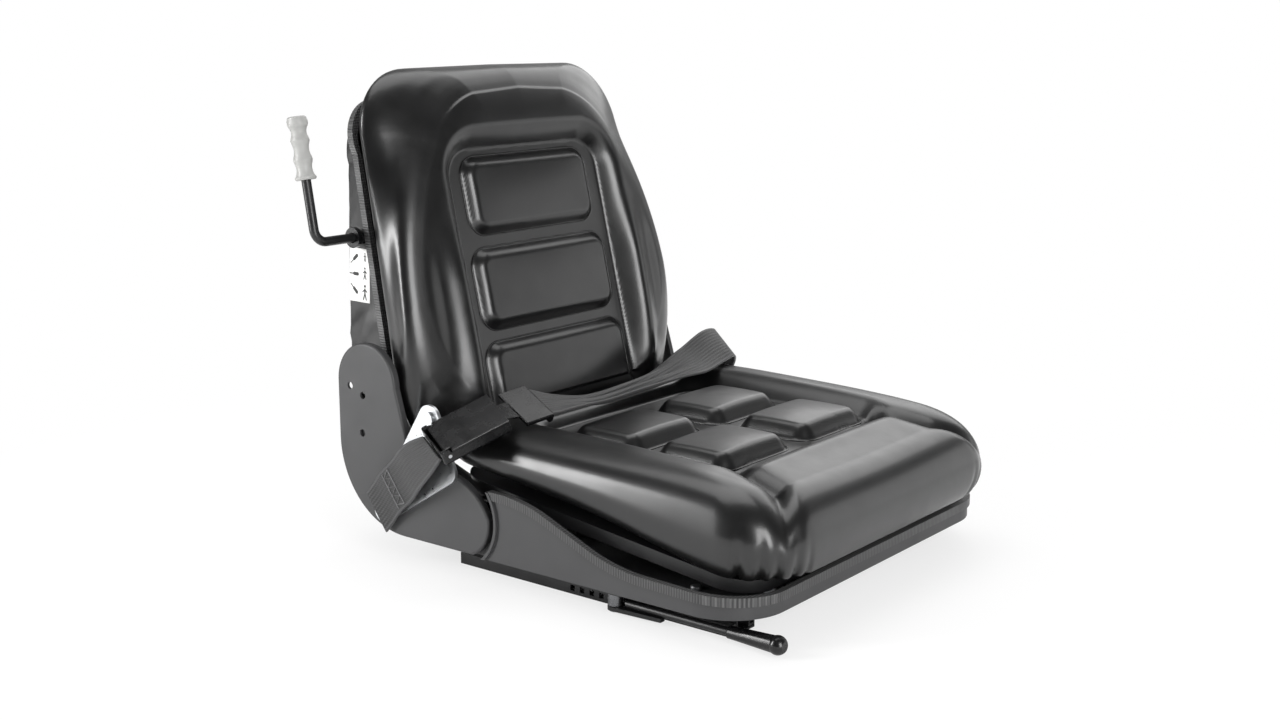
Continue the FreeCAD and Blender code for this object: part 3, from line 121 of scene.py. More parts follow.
@dataclass(frozen=True)
class Finish:
    """A surface finish; subclasses add the pattern of their own process."""

    name: str
    colour: str
    roughness: float

    def build(self) -> bpy.types.Material:
        """Return the material, made once.

        Returns:
            The Blender material of this finish.
        """
        found = bpy.data.materials.get(self.name)
        if found:
            return found
        made = bpy.data.materials.new(self.name)
        made.use_nodes = True
        tree = made.node_tree
        tree.nodes.clear()
        shader = add(tree, "BsdfPrincipled", {"Base Color": linear(self.colour), "Roughness": self.roughness})
        output = add(tree, "OutputMaterial")
        tree.links.new(shader.outputs["BSDF"], output.inputs["Surface"])
        self.dress(tree, shader)
        return made

    def place(self, tree: Tree, kind: Coordinates = Coordinates.OBJECT) -> Socket:
        """Return the coordinates socket of a pattern."""
        return add(tree, "TexCoord").outputs[kind.value]

    def noise(self, tree: Tree, where: Socket, grain: float,
              detail: float = 2.0) -> Socket:
        """Return noise whose cells are about a grain across, in millimetres."""
        item = add(tree, "TexNoise", {"Scale": 1 / (grain * MM), "Detail": detail}, {"Vector": where})
        return item.outputs["Fac"]

    def mottle(self, tree: Tree, where: Socket, patch: float, detail: float = 2.0,
               low: float = 0.0, high: float = 1.0) -> Socket:
        """Return soft patches, their width in millimetres, that run from a low to a high value."""
        cloud = self.noise(tree, where, patch, detail)
        settings = {"From Min": 0.3, "From Max": 0.7, "To Min": low, "To Max": high}
        return add(tree, "MapRange", settings, {"Value": cloud}).outputs["Result"]

    def sheen(self, tree: Tree, shader: Node, where: Socket, patch: float,
              detail: float, below: float, above: float) -> None:
        """Let the roughness wander in patches, a little below and above the finish's own."""
        rough = self.mottle(tree, where, patch, detail, self.roughness - below, self.roughness + above)
        tree.links.new(rough, shader.inputs["Roughness"])

    def tint(self, tree: Tree, shader: Node, other: Sequence[float],
             share: Socket) -> Socket:
        """Mix the finish's colour with another by a pattern, set it as the base colour and return it."""
        tone = add(tree, "MixRGB", {"Color1": linear(self.colour), "Color2": other}, {"Fac": share})
        tree.links.new(tone.outputs["Color"], shader.inputs["Base Color"])
        return tone.outputs["Color"]

    def bands(self, tree: Tree, where: Socket, pitch: float,
              direction: str) -> Socket:
        """Return bands of a pitch in millimetres across a direction of the piece."""
        scale = 2 * math.pi / (20 * pitch * MM)
        item = add(tree, "TexWave", {"wave_type": "BANDS", "bands_direction": direction, "Scale": scale,
                                     "Distortion": 0.0}, {"Vector": where})
        return item.outputs["Fac"]

    def emboss(self, tree: Tree, shader: Node, height: Socket,
               depth: float, strength: float = 1.0,
               under: Socket | None = None) -> Socket:
        """Add a bump of a depth in millimetres, over another one if given.

        Args:
            tree: the node tree.
            shader: the node whose normal is set.
            height: the pattern.
            depth: the pattern's depth in millimetres.
            strength: how strongly it counts.
            under: the normal of a coarser bump.

        Returns:
            The normal socket.
        """
        links = {"Height": height}
        if under:
            links["Normal"] = under
        item = add(tree, "Bump", {"Strength": strength, "Distance": depth * MM}, links)
        tree.links.new(item.outputs["Normal"], shader.inputs["Normal"])
        return item.outputs["Normal"]

    def dress(self, tree: Tree, shader: Node) -> None:
        """Add what this process gives the surface."""


@dataclass(frozen=True)
class Vinyl(Finish):
    """Coated upholstery vinyl, embossed with a leather grain."""

    grain: float = 1.1
    crease: float = 38.0
    gloss: float = 0.5
    worn: str = "0c0c0c"

    def dress(self, tree: Tree, shader: Node) -> None:
        """Pebbled grain, soft stretch creases and a slightly uneven sheen."""
        where = self.place(tree)
        pebble = add(tree, "TexVoronoi", {"Scale": 1 / (self.grain * MM), "feature": "SMOOTH_F1",
                                          "Smoothness": 0.6}, {"Vector": where}).outputs["Distance"]
        under = self.emboss(tree, shader, self.noise(tree, where, self.crease, 3.0), 0.8, 0.2)
        self.emboss(tree, shader, pebble, 0.09, 0.4, under)
        self.sheen(tree, shader, where, 25.0, 2.0, 0.03, 0.04)
        self.tint(tree, shader, linear(self.worn), self.mottle(tree, where, 60.0))
        shader.inputs["Coat Weight"].default_value = self.gloss
        shader.inputs["Coat Roughness"].default_value = 0.2


@dataclass(frozen=True)
class Paint(Finish):
    """Stoved or powder paint on pressed steel."""

    peel: float = 1.6
    peel_depth: float = 0.03

    def dress(self, tree: Tree, shader: Node) -> None:
        """Orange peel, a cloudy sheen and a faint change of tone."""
        where = self.place(tree)
        self.emboss(tree, shader, self.noise(tree, where, self.peel, 1.0), self.peel_depth, 0.5)
        self.sheen(tree, shader, where, 30.0, 3.0, 0.04, 0.05)
        lighter = tuple(min(1.0, value * 1.12 + 0.001) for value in linear(self.colour)[:3]) + (1.0,)
        self.tint(tree, shader, lighter, self.mottle(tree, where, 55.0))


@dataclass(frozen=True)
class Metal(Finish):
    """Bare or plated steel."""

    spangle: float = 6.0

    def dress(self, tree: Tree, shader: Node) -> None:
        """Plating spangle, fine scratches and small differences of gloss."""
        where = self.place(tree)
        shader.inputs["Metallic"].default_value = 1.0
        self.sheen(tree, shader, where, self.spangle, 4.0, 0.08, 0.1)
        stretched = add(tree, "Mapping", {"Scale": (1.0, 1.0, 0.08)}, {"Vector": where}).outputs["Vector"]
        self.emboss(tree, shader, self.noise(tree, stretched, 0.5, 2.0), 0.02, 0.35)


@dataclass(frozen=True)
class Moulded(Finish):
    """Moulded plastic or rubber with a fine spark-eroded texture."""

    spark: float = 0.55
    spark_depth: float = 0.03

    def dress(self, tree: Tree, shader: Node) -> None:
        """Fine mould texture and slightly polished touch marks."""
        where = self.place(tree)
        self.emboss(tree, shader, self.noise(tree, where, self.spark, 1.0), self.spark_depth, 0.6)
        self.sheen(tree, shader, where, 14.0, 3.0, 0.06, 0.06)


@dataclass(frozen=True)
class SerratedTrim(Moulded):
    """Extruded edging whose face is cut across into fine teeth."""

    pitch: float = 3.0
    tooth: float = 0.7
    tip: str = "565656"
    runs: tuple = ("X", "Y")

    def dress(self, tree: Tree, shader: Node) -> None:
        """Teeth across the edging, whichever way it runs, with the tooth tips coloured lighter."""
        super().dress(tree, shader)
        where = self.place(tree)
        first, last = (self.bands(tree, where, self.pitch, run) for run in self.runs)
        both = add(tree, "Math", {"operation": "ADD"}, {0: first, 1: last}).outputs[0]
        teeth = add(tree, "Math", {"operation": "MULTIPLY", 1: 0.5}, {0: both}).outputs[0]
        self.emboss(tree, shader, teeth, self.tooth)
        self.tint(tree, shader, linear(self.tip), teeth)


@dataclass(frozen=True)
class Webbing(Finish):
    """Polyester belt webbing: lengthwise ribs crossed by a fine weft."""

    rib: float = 4.0
    weft: float = 1.3
    crossing: str = "272728"
    edging: str = "383839"
    bound_from: float = 21.5

    def dress(self, tree: Tree, shader: Node) -> None:
        """Ribs along the belt, weft across it, and lighter threads where they cross."""
        where = self.place(tree, Coordinates.UV)
        ribs = self.bands(tree, where, self.rib, "Y")
        weft = self.bands(tree, where, self.weft, "X")
        slant = self.bands(tree, where, self.weft * 1.4, "DIAGONAL")
        both = add(tree, "Math", {"operation": "MULTIPLY"}, {0: weft, 1: slant}).outputs[0]
        cloth = add(tree, "Math", {"operation": "MULTIPLY_ADD", 1: 0.6}, {0: both, 2: ribs}).outputs[0]
        self.emboss(tree, shader, cloth, 0.28, 0.8)
        tone = self.tint(tree, shader, linear(self.crossing), both)
        across = add(tree, "SeparateXYZ", {}, {0: where}).outputs["Y"]
        side = add(tree, "Math", {"operation": "ABSOLUTE"}, {0: across}).outputs[0]
        bound = add(tree, "Math", {"operation": "GREATER_THAN", 1: self.bound_from * MM}, {0: side})
        edged = add(tree, "MixRGB", {"Color2": linear(self.edging)},
                    {"Fac": bound.outputs[0], "Color1": tone})
        tree.links.new(edged.outputs["Color"], shader.inputs["Base Color"])
        shader.inputs["Sheen Weight"].default_value = 0.08


# Calendered vinyl on foam: near black, a soft wide highlight broken up by the grain.
BLACK_VINYL = Vinyl("calendered_vinyl", "050506", 0.33, gloss=0.4)
# The cover's vinyl is unpadded and duller.
COVER_VINYL = Vinyl("thin_cover_vinyl", "0b0b0c", 0.4, grain=0.9, gloss=0.2)
# The weld line of the vinyl is pressed smooth and catches the light.
WELD_VINYL = Vinyl("welded_vinyl_seam", "0a0a0b", 0.22, grain=0.5, gloss=0.5)
# Powder coat on pressed steel: flat dark grey with a dry surface.
GREY_COAT = Paint("grey_powder_coat", "333334", 0.5, peel=0.9)
# Electrophoretic black on rails and rods: thin, satin, sharp edges.
BLACK_COAT = Paint("black_dip_coat", "121213", 0.36, peel=1.2, peel_depth=0.015)
# Zinc plate: pale, slightly cloudy steel.
ZINC = Metal("zinc_plated_steel", "c9cbcd", 0.34)
# Bright steel balls and pins.
BRIGHT = Metal("ground_bearing_steel", "d4d4d6", 0.16, spangle=12.0)
# Spring wire: oiled, dark and smooth.
SPRING_WIRE = Metal("oiled_spring_wire", "77787a", 0.3, spangle=3.0)
# Extruded rubber edge trim: dull grey black.
TRIM_RUBBER = SerratedTrim("extruded_edge_rubber", "1f1f20", 0.42, spark=0.8)
# Sewn tape round the cover: the needle pulls it into small teeth.
SEWN_TAPE = SerratedTrim("sewn_cover_tape", "232324", 0.38, spark=0.6, pitch=2.8, runs=("Z", "X"))
# Moulded rubber of buffers and sleeves.
BLACK_RUBBER = Moulded("moulded_black_rubber", "151515", 0.62, spark=0.9)
# Nylon of the buckle: black, moulded, with a low sheen.
BLACK_NYLON = Moulded("moulded_black_nylon", "0a0a0b", 0.26, spark=0.4, spark_depth=0.012)
# Polypropylene of the lever grip: pale grey and waxy.
GREY_PLASTIC = Moulded("moulded_pale_grip", "9c9c9a", 0.42, spark=0.7)
# Printed polyester film of the instruction label.
LABEL_FILM = Moulded("printed_label_film", "e4e4e2", 0.35, spark=0.3, spark_depth=0.005)
LABEL_INK = Moulded("screen_printed_ink", "121212", 0.4, spark=0.3, spark_depth=0.005)
# Belt webbing: black polyester yarn.
BELT = Webbing("woven_polyester_belt", "0e0e0f", 0.5)
# Heavier thread of the belt's stitched patch.
THREAD = Moulded("bonded_nylon_thread", "6c6c6d", 0.5, spark=0.4)


def give_finish(piece: Piece, finish: Finish) -> None:
    """Give a piece one finish, in place of what it had."""
    piece.data.materials.clear()
    piece.data.materials.append(finish.build())


def ride_on(piece: Piece, body: str, finish: Finish,
            replaces: Sequence[str] = ()) -> None:
    """Dress a new piece and tie it to its body.

    Args:
        piece: the new object.
        body: the CAD body that it moves with.
        finish: its finish.
        replaces: CAD nodes that it stands for.
    """
    give_finish(piece, finish)
    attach(piece, body)
    if replaces:
        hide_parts(*replaces)
    LOG.info("%s: %d faces on %s", piece.name, len(piece.data.polygons), body)


def to_object(form: Form, name: str, smooth: bool = True) -> Piece:
    """Turn a bmesh into an object of the scene, its faces pointing out.

    Args:
        form: the shape; it is freed.
        name: the piece's name.
        smooth: whether its faces are shaded smooth.

    Returns:
        The new object.
    """
    bmesh.ops.recalc_face_normals(form, faces=form.faces)
    for face in form.faces:
        face.smooth = smooth
    mesh = bpy.data.meshes.new(name)
    form.to_mesh(mesh)
    form.free()
    piece = bpy.data.objects.new(name, mesh)
    bpy.context.scene.collection.objects.link(piece)
    return piece


def formed_grid(columns: int, rows: int, place: Place) -> Form:
    """Return a grid whose points are moved to place(u, v), both from -1 to 1."""
    form = bmesh.new()
    bmesh.ops.create_grid(form, x_segments=columns, y_segments=rows, size=1.0)
    for vert in form.verts:
        vert.co = place(vert.co.x, vert.co.y)
    return form


def mix(low: float, high: float, share: float) -> float:
    """Return the value at a share of the way from low to high."""
    return low + (high - low) * share


def clamp(value: float, low: float = 0.0, high: float = 1.0) -> float:
    """Return a value held between two limits."""
    return max(low, min(high, value))


def smooth_step(value: float) -> float:
    """Return an S-shaped ramp from 0 to 1."""
    share = clamp(value)
    return share * share * (3 - 2 * share)


def sine_rise(value: float) -> float:
    """Return a quarter-sine ramp: straight off at 0, level at 1."""
    return math.sin(clamp(value) * math.pi / 2)


def rounded_box_distance(x: float, y: float, box: Sequence[float], radius: float) -> float:
    """Return the distance to a rounded rectangle, negative inside.

    Args:
        x: position across.
        y: position along.
        box: low x, high x, low y, high y.
        radius: corner radius.

    Returns:
        The signed distance.
    """
    across = abs(x - (box[0] + box[1]) / 2) - (box[1] - box[0]) / 2 + radius
    along = abs(y - (box[2] + box[3]) / 2) - (box[3] - box[2]) / 2 + radius
    outside = math.hypot(max(across, 0), max(along, 0))
    return outside + min(max(across, along), 0) - radius


def outer_box(box: Sequence[float], offset: float) -> tuple[float, float, float, float]:
    """Return a rectangle that is larger by an offset on every side."""
    return box[0] - offset, box[1] + offset, box[2] - offset, box[3] + offset


def through(points: Sequence[Sequence[float]], share: float) -> list[float]:
    """Return a point on the smooth curve through points, each led by its share of the way.

    Args:
        points: rows of a share and the values there.
        share: where on the curve.

    Returns:
        The values at that share.
    """
    keys = [row[0] for row in points]
    index = int(clamp(bisect.bisect_right(keys, share) - 1, 0, len(points) - 2))
    first, last = points[index], points[index + 1]
    step = last[0] - first[0]
    at = clamp((share - first[0]) / step)
    values = []
    for place in range(1, len(first)):
        before = points[index - 1] if index else first
        after = points[index + 2] if index + 2 < len(points) else last
        start = (last[place] - before[place]) / (last[0] - before[0]) * step
        end = (after[place] - first[place]) / (after[0] - first[0]) * step
        square, cube = at * at, at * at * at
        values.append((2 * cube - 3 * square + 1) * first[place] + (cube - 2 * square + at) * start
                      + (3 * square - 2 * cube) * last[place] + (cube - square) * end)
    return values


def tube(name: str, points: Iterable[Vector], radius: float, closed: bool = False) -> Piece:
    """Return a round tube of a radius in millimetres along points in metres.

    Args:
        name: the piece's name.
        points: the line that it follows.
        radius: its radius in millimetres.
        closed: whether the line closes on itself.

    Returns:
        The tube as a mesh object.
    """
    line = bpy.data.curves.new(name + "_line", "CURVE")
    line.dimensions = "3D"
    line.bevel_depth = radius * MM
    line.bevel_resolution = 1
    line.use_fill_caps = True
    spots = list(points)
    spline = line.splines.new("POLY")
    spline.points.add(len(spots) - 1)
    for point, spot in zip(spline.points, spots):
        point.co = (spot[0], spot[1], spot[2], 1)
    spline.use_cyclic_u = closed
    holder = bpy.data.objects.new(name + "_line", line)
    bpy.context.scene.collection.objects.link(holder)
    bpy.context.view_layer.update()
    mesh = bpy.data.meshes.new_from_object(holder)
    bpy.data.objects.remove(holder)
    bpy.data.curves.remove(line)
    form = bmesh.new()
    form.from_mesh(mesh)
    bpy.data.meshes.remove(mesh)
    bmesh.ops.remove_doubles(form, verts=form.verts, dist=1e-6)
    return to_object(form, name)


def join(pieces: Sequence[Piece], name: str) -> Piece:
    """Join meshes into one piece.

    Args:
        pieces: the meshes; all but the new one are removed.
        name: the new piece's name.

    Returns:
        The joined piece.
    """
    form = bmesh.new()
    for piece in pieces:
        form.from_mesh(piece.data)
        data = piece.data
        bpy.data.objects.remove(piece)
        bpy.data.meshes.remove(data)
    for face in form.faces:
        face.smooth = True
    mesh = bpy.data.meshes.new(name)
    form.to_mesh(mesh)
    form.free()
    joined = bpy.data.objects.new(name, mesh)
    bpy.context.scene.collection.objects.link(joined)
    return joined


def rounded_box_line(box: Sequence[float], radius: float, step: float) -> list[tuple[float, float]]:
    """Return points round a rounded rectangle, about a step apart."""
    points = []
    corners = ((box[1] - radius, box[2] + radius, -90), (box[1] - radius, box[3] - radius, 0),
               (box[0] + radius, box[3] - radius, 90), (box[0] + radius, box[2] + radius, 180))
    for index, (x, y, start) in enumerate(corners):
        turns = max(4, round(radius * math.pi / 2 / step))
        for turn in range(turns + 1):
            angle = math.radians(start + 90 * turn / turns)
            points.append((x + radius * math.cos(angle), y + radius * math.sin(angle)))
        nearby = corners[(index + 1) % 4]
        end = math.radians(nearby[2])
        goal = (nearby[0] + radius * math.cos(end), nearby[1] + radius * math.sin(end))
        here = points[-1]
        count = max(1, round(math.dist(here, goal) / step))
        for part in range(1, count):
            points.append((mix(here[0], goal[0], part / count), mix(here[1], goal[1], part / count)))
    return points


@dataclass
class SeatPad:
    """The seat cushion: bolsters round a recess with four raised pads."""

    half_width: float = 226.6
    front: float = -239.0
    rear: float = 172.0
    front_radius: float = 66.0
    rear_radius: float = 30.0
    floor: float = 135.0
    recess: tuple = (-142.0, 142.0, -132.0, 120.0)
    recess_radius: float = 30.0
    pad_half: tuple = (61.0, 47.0)
    pad_spots: tuple = ((-72.6, -74.0), (72.6, -74.0), (-72.6, 38.0), (72.6, 38.0))
    pad_corner: float = 20.0
    pad_rise: float = 15.0
    pad_slope: float = 15.0
    pad_crown: float = 3.4
    bolster_slope: float = 30.0
    seam_line: tuple = ((-240, 60), (-168, 64), (-98, 79), (-50, 90), (0, 99), (110, 113), (175, 120))
    crest_line: tuple = ((-240, 128), (-200, 139), (-150, 149), (-90, 154), (0, 157), (90, 158), (175, 154))
    groove_start: float = -128.0
    groove_length: float = 108.0
    groove_place: float = 137.0
    groove_spread: float = 26.0
    groove_width: float = 11.0
    groove_depth: float = 13.0
    roll_share: float = 0.74
    roll_reach: float = 46.0
    crest_turn: float = 0.62
    waist: float = 0.42
    tuck: float = 15.0
    pleats: tuple = (-88.0, -73.0, -55.0, -41.0, -22.0)
    pleat_width: float = 4.5
    pleat_depth: float = 9.0
    gather_pull: float = 1.4
    gather_side: float = 52000.0  # the square of the distance from the middle where the gathers are full
    gather_rear: float = -95.0
    gather_fade: float = 70.0
    columns: int = 236
    rows: int = 220

    def outline(self, u: float, v: float) -> tuple[float, float]:
        """Return the plan outline at a point of the unit square's edge."""
        half = self.half_width
        middle = (self.front + self.rear) / 2
        deep = (self.rear - self.front) / 2
        radius = self.front_radius if v < 0 else self.rear_radius
        side = math.copysign(1, u)
        end = math.copysign(1, v)
        if abs(u) >= abs(v):
            limit = 1 - radius / deep
            if abs(v) <= limit:
                return side * half, middle + v * deep
            angle = math.radians(45 * (abs(v) - limit) / (1 - limit))
        else:
            limit = 1 - radius / half
            if abs(u) <= limit:
                return u * half, middle + end * deep
            angle = math.radians(90 - 45 * (abs(u) - limit) / (1 - limit))
        return (side * (half - radius + radius * math.cos(angle)),
                middle + end * (deep - radius + radius * math.sin(angle)))

    def seam_level(self, y: float) -> float:
        """Return the height of the lower seam."""
        return through(self.seam_line, y)[0]

    def crest_level(self, x: float, y: float) -> float:
        """Return the height of the bolsters, without recess and grooves."""
        along = through(self.crest_line, y)[0]
        across = 7 * clamp((abs(x) - 172) / 56) ** 2
        dip = 3.0 * math.exp(-((x / 120) ** 2)) * smooth_step((-135 - y) / 40)
        return along - across - dip

    def groove(self, x: float, y: float) -> float:
        """Return how deep the front grooves cut at a point."""
        run = (y - self.groove_start) / -self.groove_length
        line = self.groove_place + self.groove_spread * clamp(run, 0, 1.2)
        away = (abs(x) - line) / self.groove_width
        fade = smooth_step((run + 0.12) / 0.15) * (1 - smooth_step((run - 0.55) / 0.45))
        return self.groove_depth * math.exp(-abs(away) ** 1.5) * fade

    def pad_box(self, spot: Sequence[float]) -> tuple[float, float, float, float]:
        """Return the rectangle of the pad at a spot."""
        wide, deep = self.pad_half
        return spot[0] - wide, spot[0] + wide, spot[1] - deep, spot[1] + deep

    def top_level(self, x: float, y: float) -> float:
        """Return the height of the top surface."""
        edge = rounded_box_distance(x, y, self.recess, self.recess_radius)
        level = mix(self.floor, self.crest_level(x, y), sine_rise((edge + 0.5) / self.bolster_slope))
        level -= self.groove(x, y)
        wide, deep = self.pad_half
        for spot in self.pad_spots:
            inside = -rounded_box_distance(x, y, self.pad_box(spot), self.pad_corner)
            if inside > 0:
                crown = (1 - ((x - spot[0]) / wide) ** 2) * (1 - ((y - spot[1]) / deep) ** 2)
                level += self.pad_rise * sine_rise(inside / self.pad_slope) + self.pad_crown * crown
        return level

    def place(self, u: float, v: float) -> Vector:
        """Return the surface point of a grid point."""
        ring = max(abs(u), abs(v))
        middle = (self.front + self.rear) / 2
        if ring < 1e-6:
            return Vector((0, middle, self.top_level(0, middle))) * MM
        edge_x, edge_y = self.outline(u / ring, v / ring)
        start = 1 - self.roll_reach / self.half_width
        if ring <= self.roll_share:
            scale = start * ring / self.roll_share
            x, y = edge_x * scale, middle + (edge_y - middle) * scale
            return Vector((x, y, self.top_level(x, y))) * MM
        turn = (ring - self.roll_share) / (1 - self.roll_share)
        if turn < self.crest_turn:
            angle = turn / self.crest_turn * math.pi / 2
            inward = self.roll_reach * (1 - math.sin(angle))
            height = self.waist + (1 - self.waist) * math.cos(angle)
        else:
            angle = (turn - self.crest_turn) / (1 - self.crest_turn) * math.pi / 2
            inward = self.tuck * (1 - math.cos(angle))
            height = self.waist * (1 - math.sin(angle))
        scale = 1 - inward / self.half_width
        x, y = edge_x * scale, middle + (edge_y - middle) * scale
        inner_x, inner_y = edge_x * start, middle + (edge_y - middle) * start
        low, high = self.seam_level(y), self.top_level(inner_x, inner_y)
        gather = self.gathers(edge_x, edge_y) * (1 - height) ** 3.4
        out = Vector((edge_x, edge_y - middle, 0)).normalized() * gather
        return Vector((x - out.x, y - out.y, mix(low, high, height))) * MM

    def gathers(self, x: float, y: float) -> float:
        """Return how far the lower edge is pulled in where the cover is gathered at the front corners."""
        radius = self.front_radius
        angle = math.atan2(y - self.front - radius, abs(x) - self.half_width + radius)
        near = smooth_step((x * x / self.gather_side - 0.35) / 0.3)
        near *= smooth_step((self.gather_rear - y) / self.gather_fade)
        pull = self.gather_pull
        for pleat in self.pleats:
            away = (angle - math.radians(pleat)) * radius / self.pleat_width
            pull += self.pleat_depth * math.exp(-away * away)
        return near * pull

    def build(self) -> Piece:
        """Model the cushion and its weld seams.

        Returns:
            The cushion.
        """
        form = formed_grid(self.columns, self.rows, self.place)
        rim = [edge for edge in form.edges if edge.is_boundary]
        bmesh.ops.contextual_create(form, geom=rim)
        piece = to_object(form, "seat_cushion_cover")
        ride_on(piece, "shell", BLACK_VINYL, ["seat_cushion"])
        seams = []
        for index, spot in enumerate(self.pad_spots):
            line = rounded_box_line(outer_box(self.pad_box(spot), 1), self.pad_corner + 1, 4)
            points = [Vector((x, y, self.floor + 0.2)) * MM for x, y in line]
            seams.append(tube("seam_%d" % index, points, SEAM_RADIUS, closed=True))
        ride_on(join(seams, "seat_weld_seams"), "shell", WELD_VINYL)
        return piece


@dataclass
class BackPad:
    """The back cushion: side bolsters round a recess with three raised pads."""

    lean: float = 13.1
    base_y: float = 205.8
    base_z: float = 219.7
    floor: float = -9.0
    middle: float = 105.0
    half_span: float = 220.0
    half_rise: float = 200.0
    face_inset: float = 24.0
    roll_width: float = 70.0
    roll_height: float = 24.5
    roll_base: float = 14.0
    recess: tuple = (-124.0, 124.0, -120.0, 214.0)
    recess_radius: float = 36.0
    pads: tuple = ((-110.0, 0.0, 116.0), (12.9, 103.2, 111.0), (117.7, 204.1, 103.0))
    pad_corner: float = 22.0
    pad_rise: float = 9.0
    pad_slope: float = 13.0
    pad_crown: float = 2.4
    bolster_slope: float = 26.0
    bolster_waves: tuple = ((5.0, 24, 15), (-3.2, 50, 13))
    roll_share: float = 0.72
    round_until: float = 0.3
    lowest_seam: float = -90.0
    columns: int = 210
    rows: int = 260
    # the outline from its low end round to the middle of the top, at the front and at the rear of the cushion
    front_points: tuple = ((144, -92), (207, -15), (221, 52), (205, 145), (166, 231), (138, 267), (84, 294),
                           (0, 299))
    rear_points: tuple = ((204, -92), (219, -50), (220, 0), (212, 120), (206, 235), (186, 287), (132, 310),
                          (0, 311))
    # the roll in section: share of the way round, depth, share of the rear outline, inset
    sections: tuple = ((0, -4.5, 0, 24), (0.14, 0.8, 0, 11), (0.3, 6.9, 0.1, 3), (0.48, 14, 0.35, 0),
                       (0.66, 25, 0.75, 0), (0.85, 39, 1, 0), (0.93, 46, 1, 4), (0.96, 50, 1, 13),
                       (0.98, 51, 1, 24), (1.0, 59, 1, 26))
    sides: dict = field(default_factory=dict)

    def back_vector(self, x: float, slide: float, depth: float) -> Vector:
        """Return a point given in the backrest's frame, depth counted to the rear."""
        lean = math.radians(self.lean)
        return Vector((x, self.base_y + slide * math.sin(lean) + depth * math.cos(lean),
                       self.base_z + slide * math.cos(lean) - depth * math.sin(lean))) * MM

    @staticmethod
    def arc(first: Sequence[float], via: Sequence[float], last: Sequence[float], count: int) -> list[Vector]:
        """Return points on the arc through three points."""
        a, b, c = (Vector((*point, 0)) for point in (first, via, last))
        ab, ac = b - a, c - a
        normal = ab.cross(ac)
        if normal.length < 1e-6:
            return [a.lerp(c, step / count) for step in range(count + 1)]
        to_centre = (normal.cross(ab) * ac.length_squared + ac.cross(normal) * ab.length_squared)
        centre = a + to_centre / (2 * normal.length_squared)
        start = a - centre
        total = start.angle(b - centre) + (b - centre).angle(c - centre)
        axis = normal.normalized()
        return [centre + Matrix.Rotation(total * step / count, 3, axis) @ start for step in range(count + 1)]

    def outline_sides(self, share: float) -> tuple[list, list]:
        """Return the right side and top right of the outline as points led by their share of the way."""
        key = round(share, 3)
        if key in self.sides:
            return self.sides[key]
        points = [(mix(a[0], b[0], key), mix(a[1], b[1], key))
                  for a, b in zip(self.front_points, self.rear_points)]
        side = self.arc(*points[0:3], 16) + self.arc(*points[2:5], 16)[1:]
        corner = self.arc(*points[4:7], 16)
        side += corner[1:9]
        top = corner[8:] + [Vector((points[7][0], points[7][1], 0))]
        result = []
        for line in (side, top):
            total = 0.0
            rows = [(0.0, line[0].x, line[0].y)]
            for before, after in zip(line, line[1:]):
                total += (after - before).length
                rows.append((total, after.x, after.y))
            result.append([(row[0] / total, row[1], row[2]) for row in rows])
        self.sides[key] = tuple(result)
        return self.sides[key]

    @staticmethod
    def along(rows: Sequence[Sequence[float]], share: float) -> tuple[float, float]:
        """Return the point at a share of a line."""
        keys = [row[0] for row in rows]
        index = int(clamp(bisect.bisect_right(keys, share) - 1, 0, len(rows) - 2))
        first, last = rows[index], rows[index + 1]
        at = clamp((share - first[0]) / (last[0] - first[0]))
        return mix(first[1], last[1], at), mix(first[2], last[2], at)

    def outline(self, u: float, v: float, share: float, inset: float) -> tuple[float, float]:
        """Return the outline at a point of the unit square's edge.

        Args:
            u: place across the square.
            v: place up the square.
            share: 0 for the front outline, 1 for the rear one.
            inset: how far the outline is drawn in.

        Returns:
            The place across and up the backrest.
        """
        side, top = self.outline_sides(share)
        if abs(u) >= abs(v):
            x, y = self.along(side, (v + 1) / 2)
        elif v > 0:
            x, y = self.along(top, 1 - abs(u))
        else:
            x, y = side[0][1] * abs(u), side[0][2]
        x *= math.copysign(1, u) * (1 - inset / self.half_span)
        return x, self.middle + (y - self.middle) * (1 - inset / self.half_rise)

    def face_height(self, x: float, slide: float, inset: float) -> float:
        """Return how far the front surface stands out from the reference plane."""
        edge = rounded_box_distance(x, slide, self.recess, self.recess_radius)
        rise = math.sqrt(1 - clamp((self.roll_width - inset) / self.roll_width) ** 2)
        crest = self.roll_height * rise - self.roll_base
        lower = smooth_step((150 - slide) / 90)
        for height, spot, width in self.bolster_waves:
            crest += lower * height * math.exp(-((edge - spot) / width) ** 2)
        level = mix(self.floor, crest, sine_rise((edge + 0.5) / self.bolster_slope))
        for low, high, half in self.pads:
            inside = -rounded_box_distance(x, slide, (-half, half, low, high), self.pad_corner)
            if inside > 0:
                crown = (1 - (x / half) ** 2) * (1 - ((2 * slide - low - high) / (high - low)) ** 2)
                level += self.pad_rise * sine_rise(inside / self.pad_slope) + self.pad_crown * crown
        return level

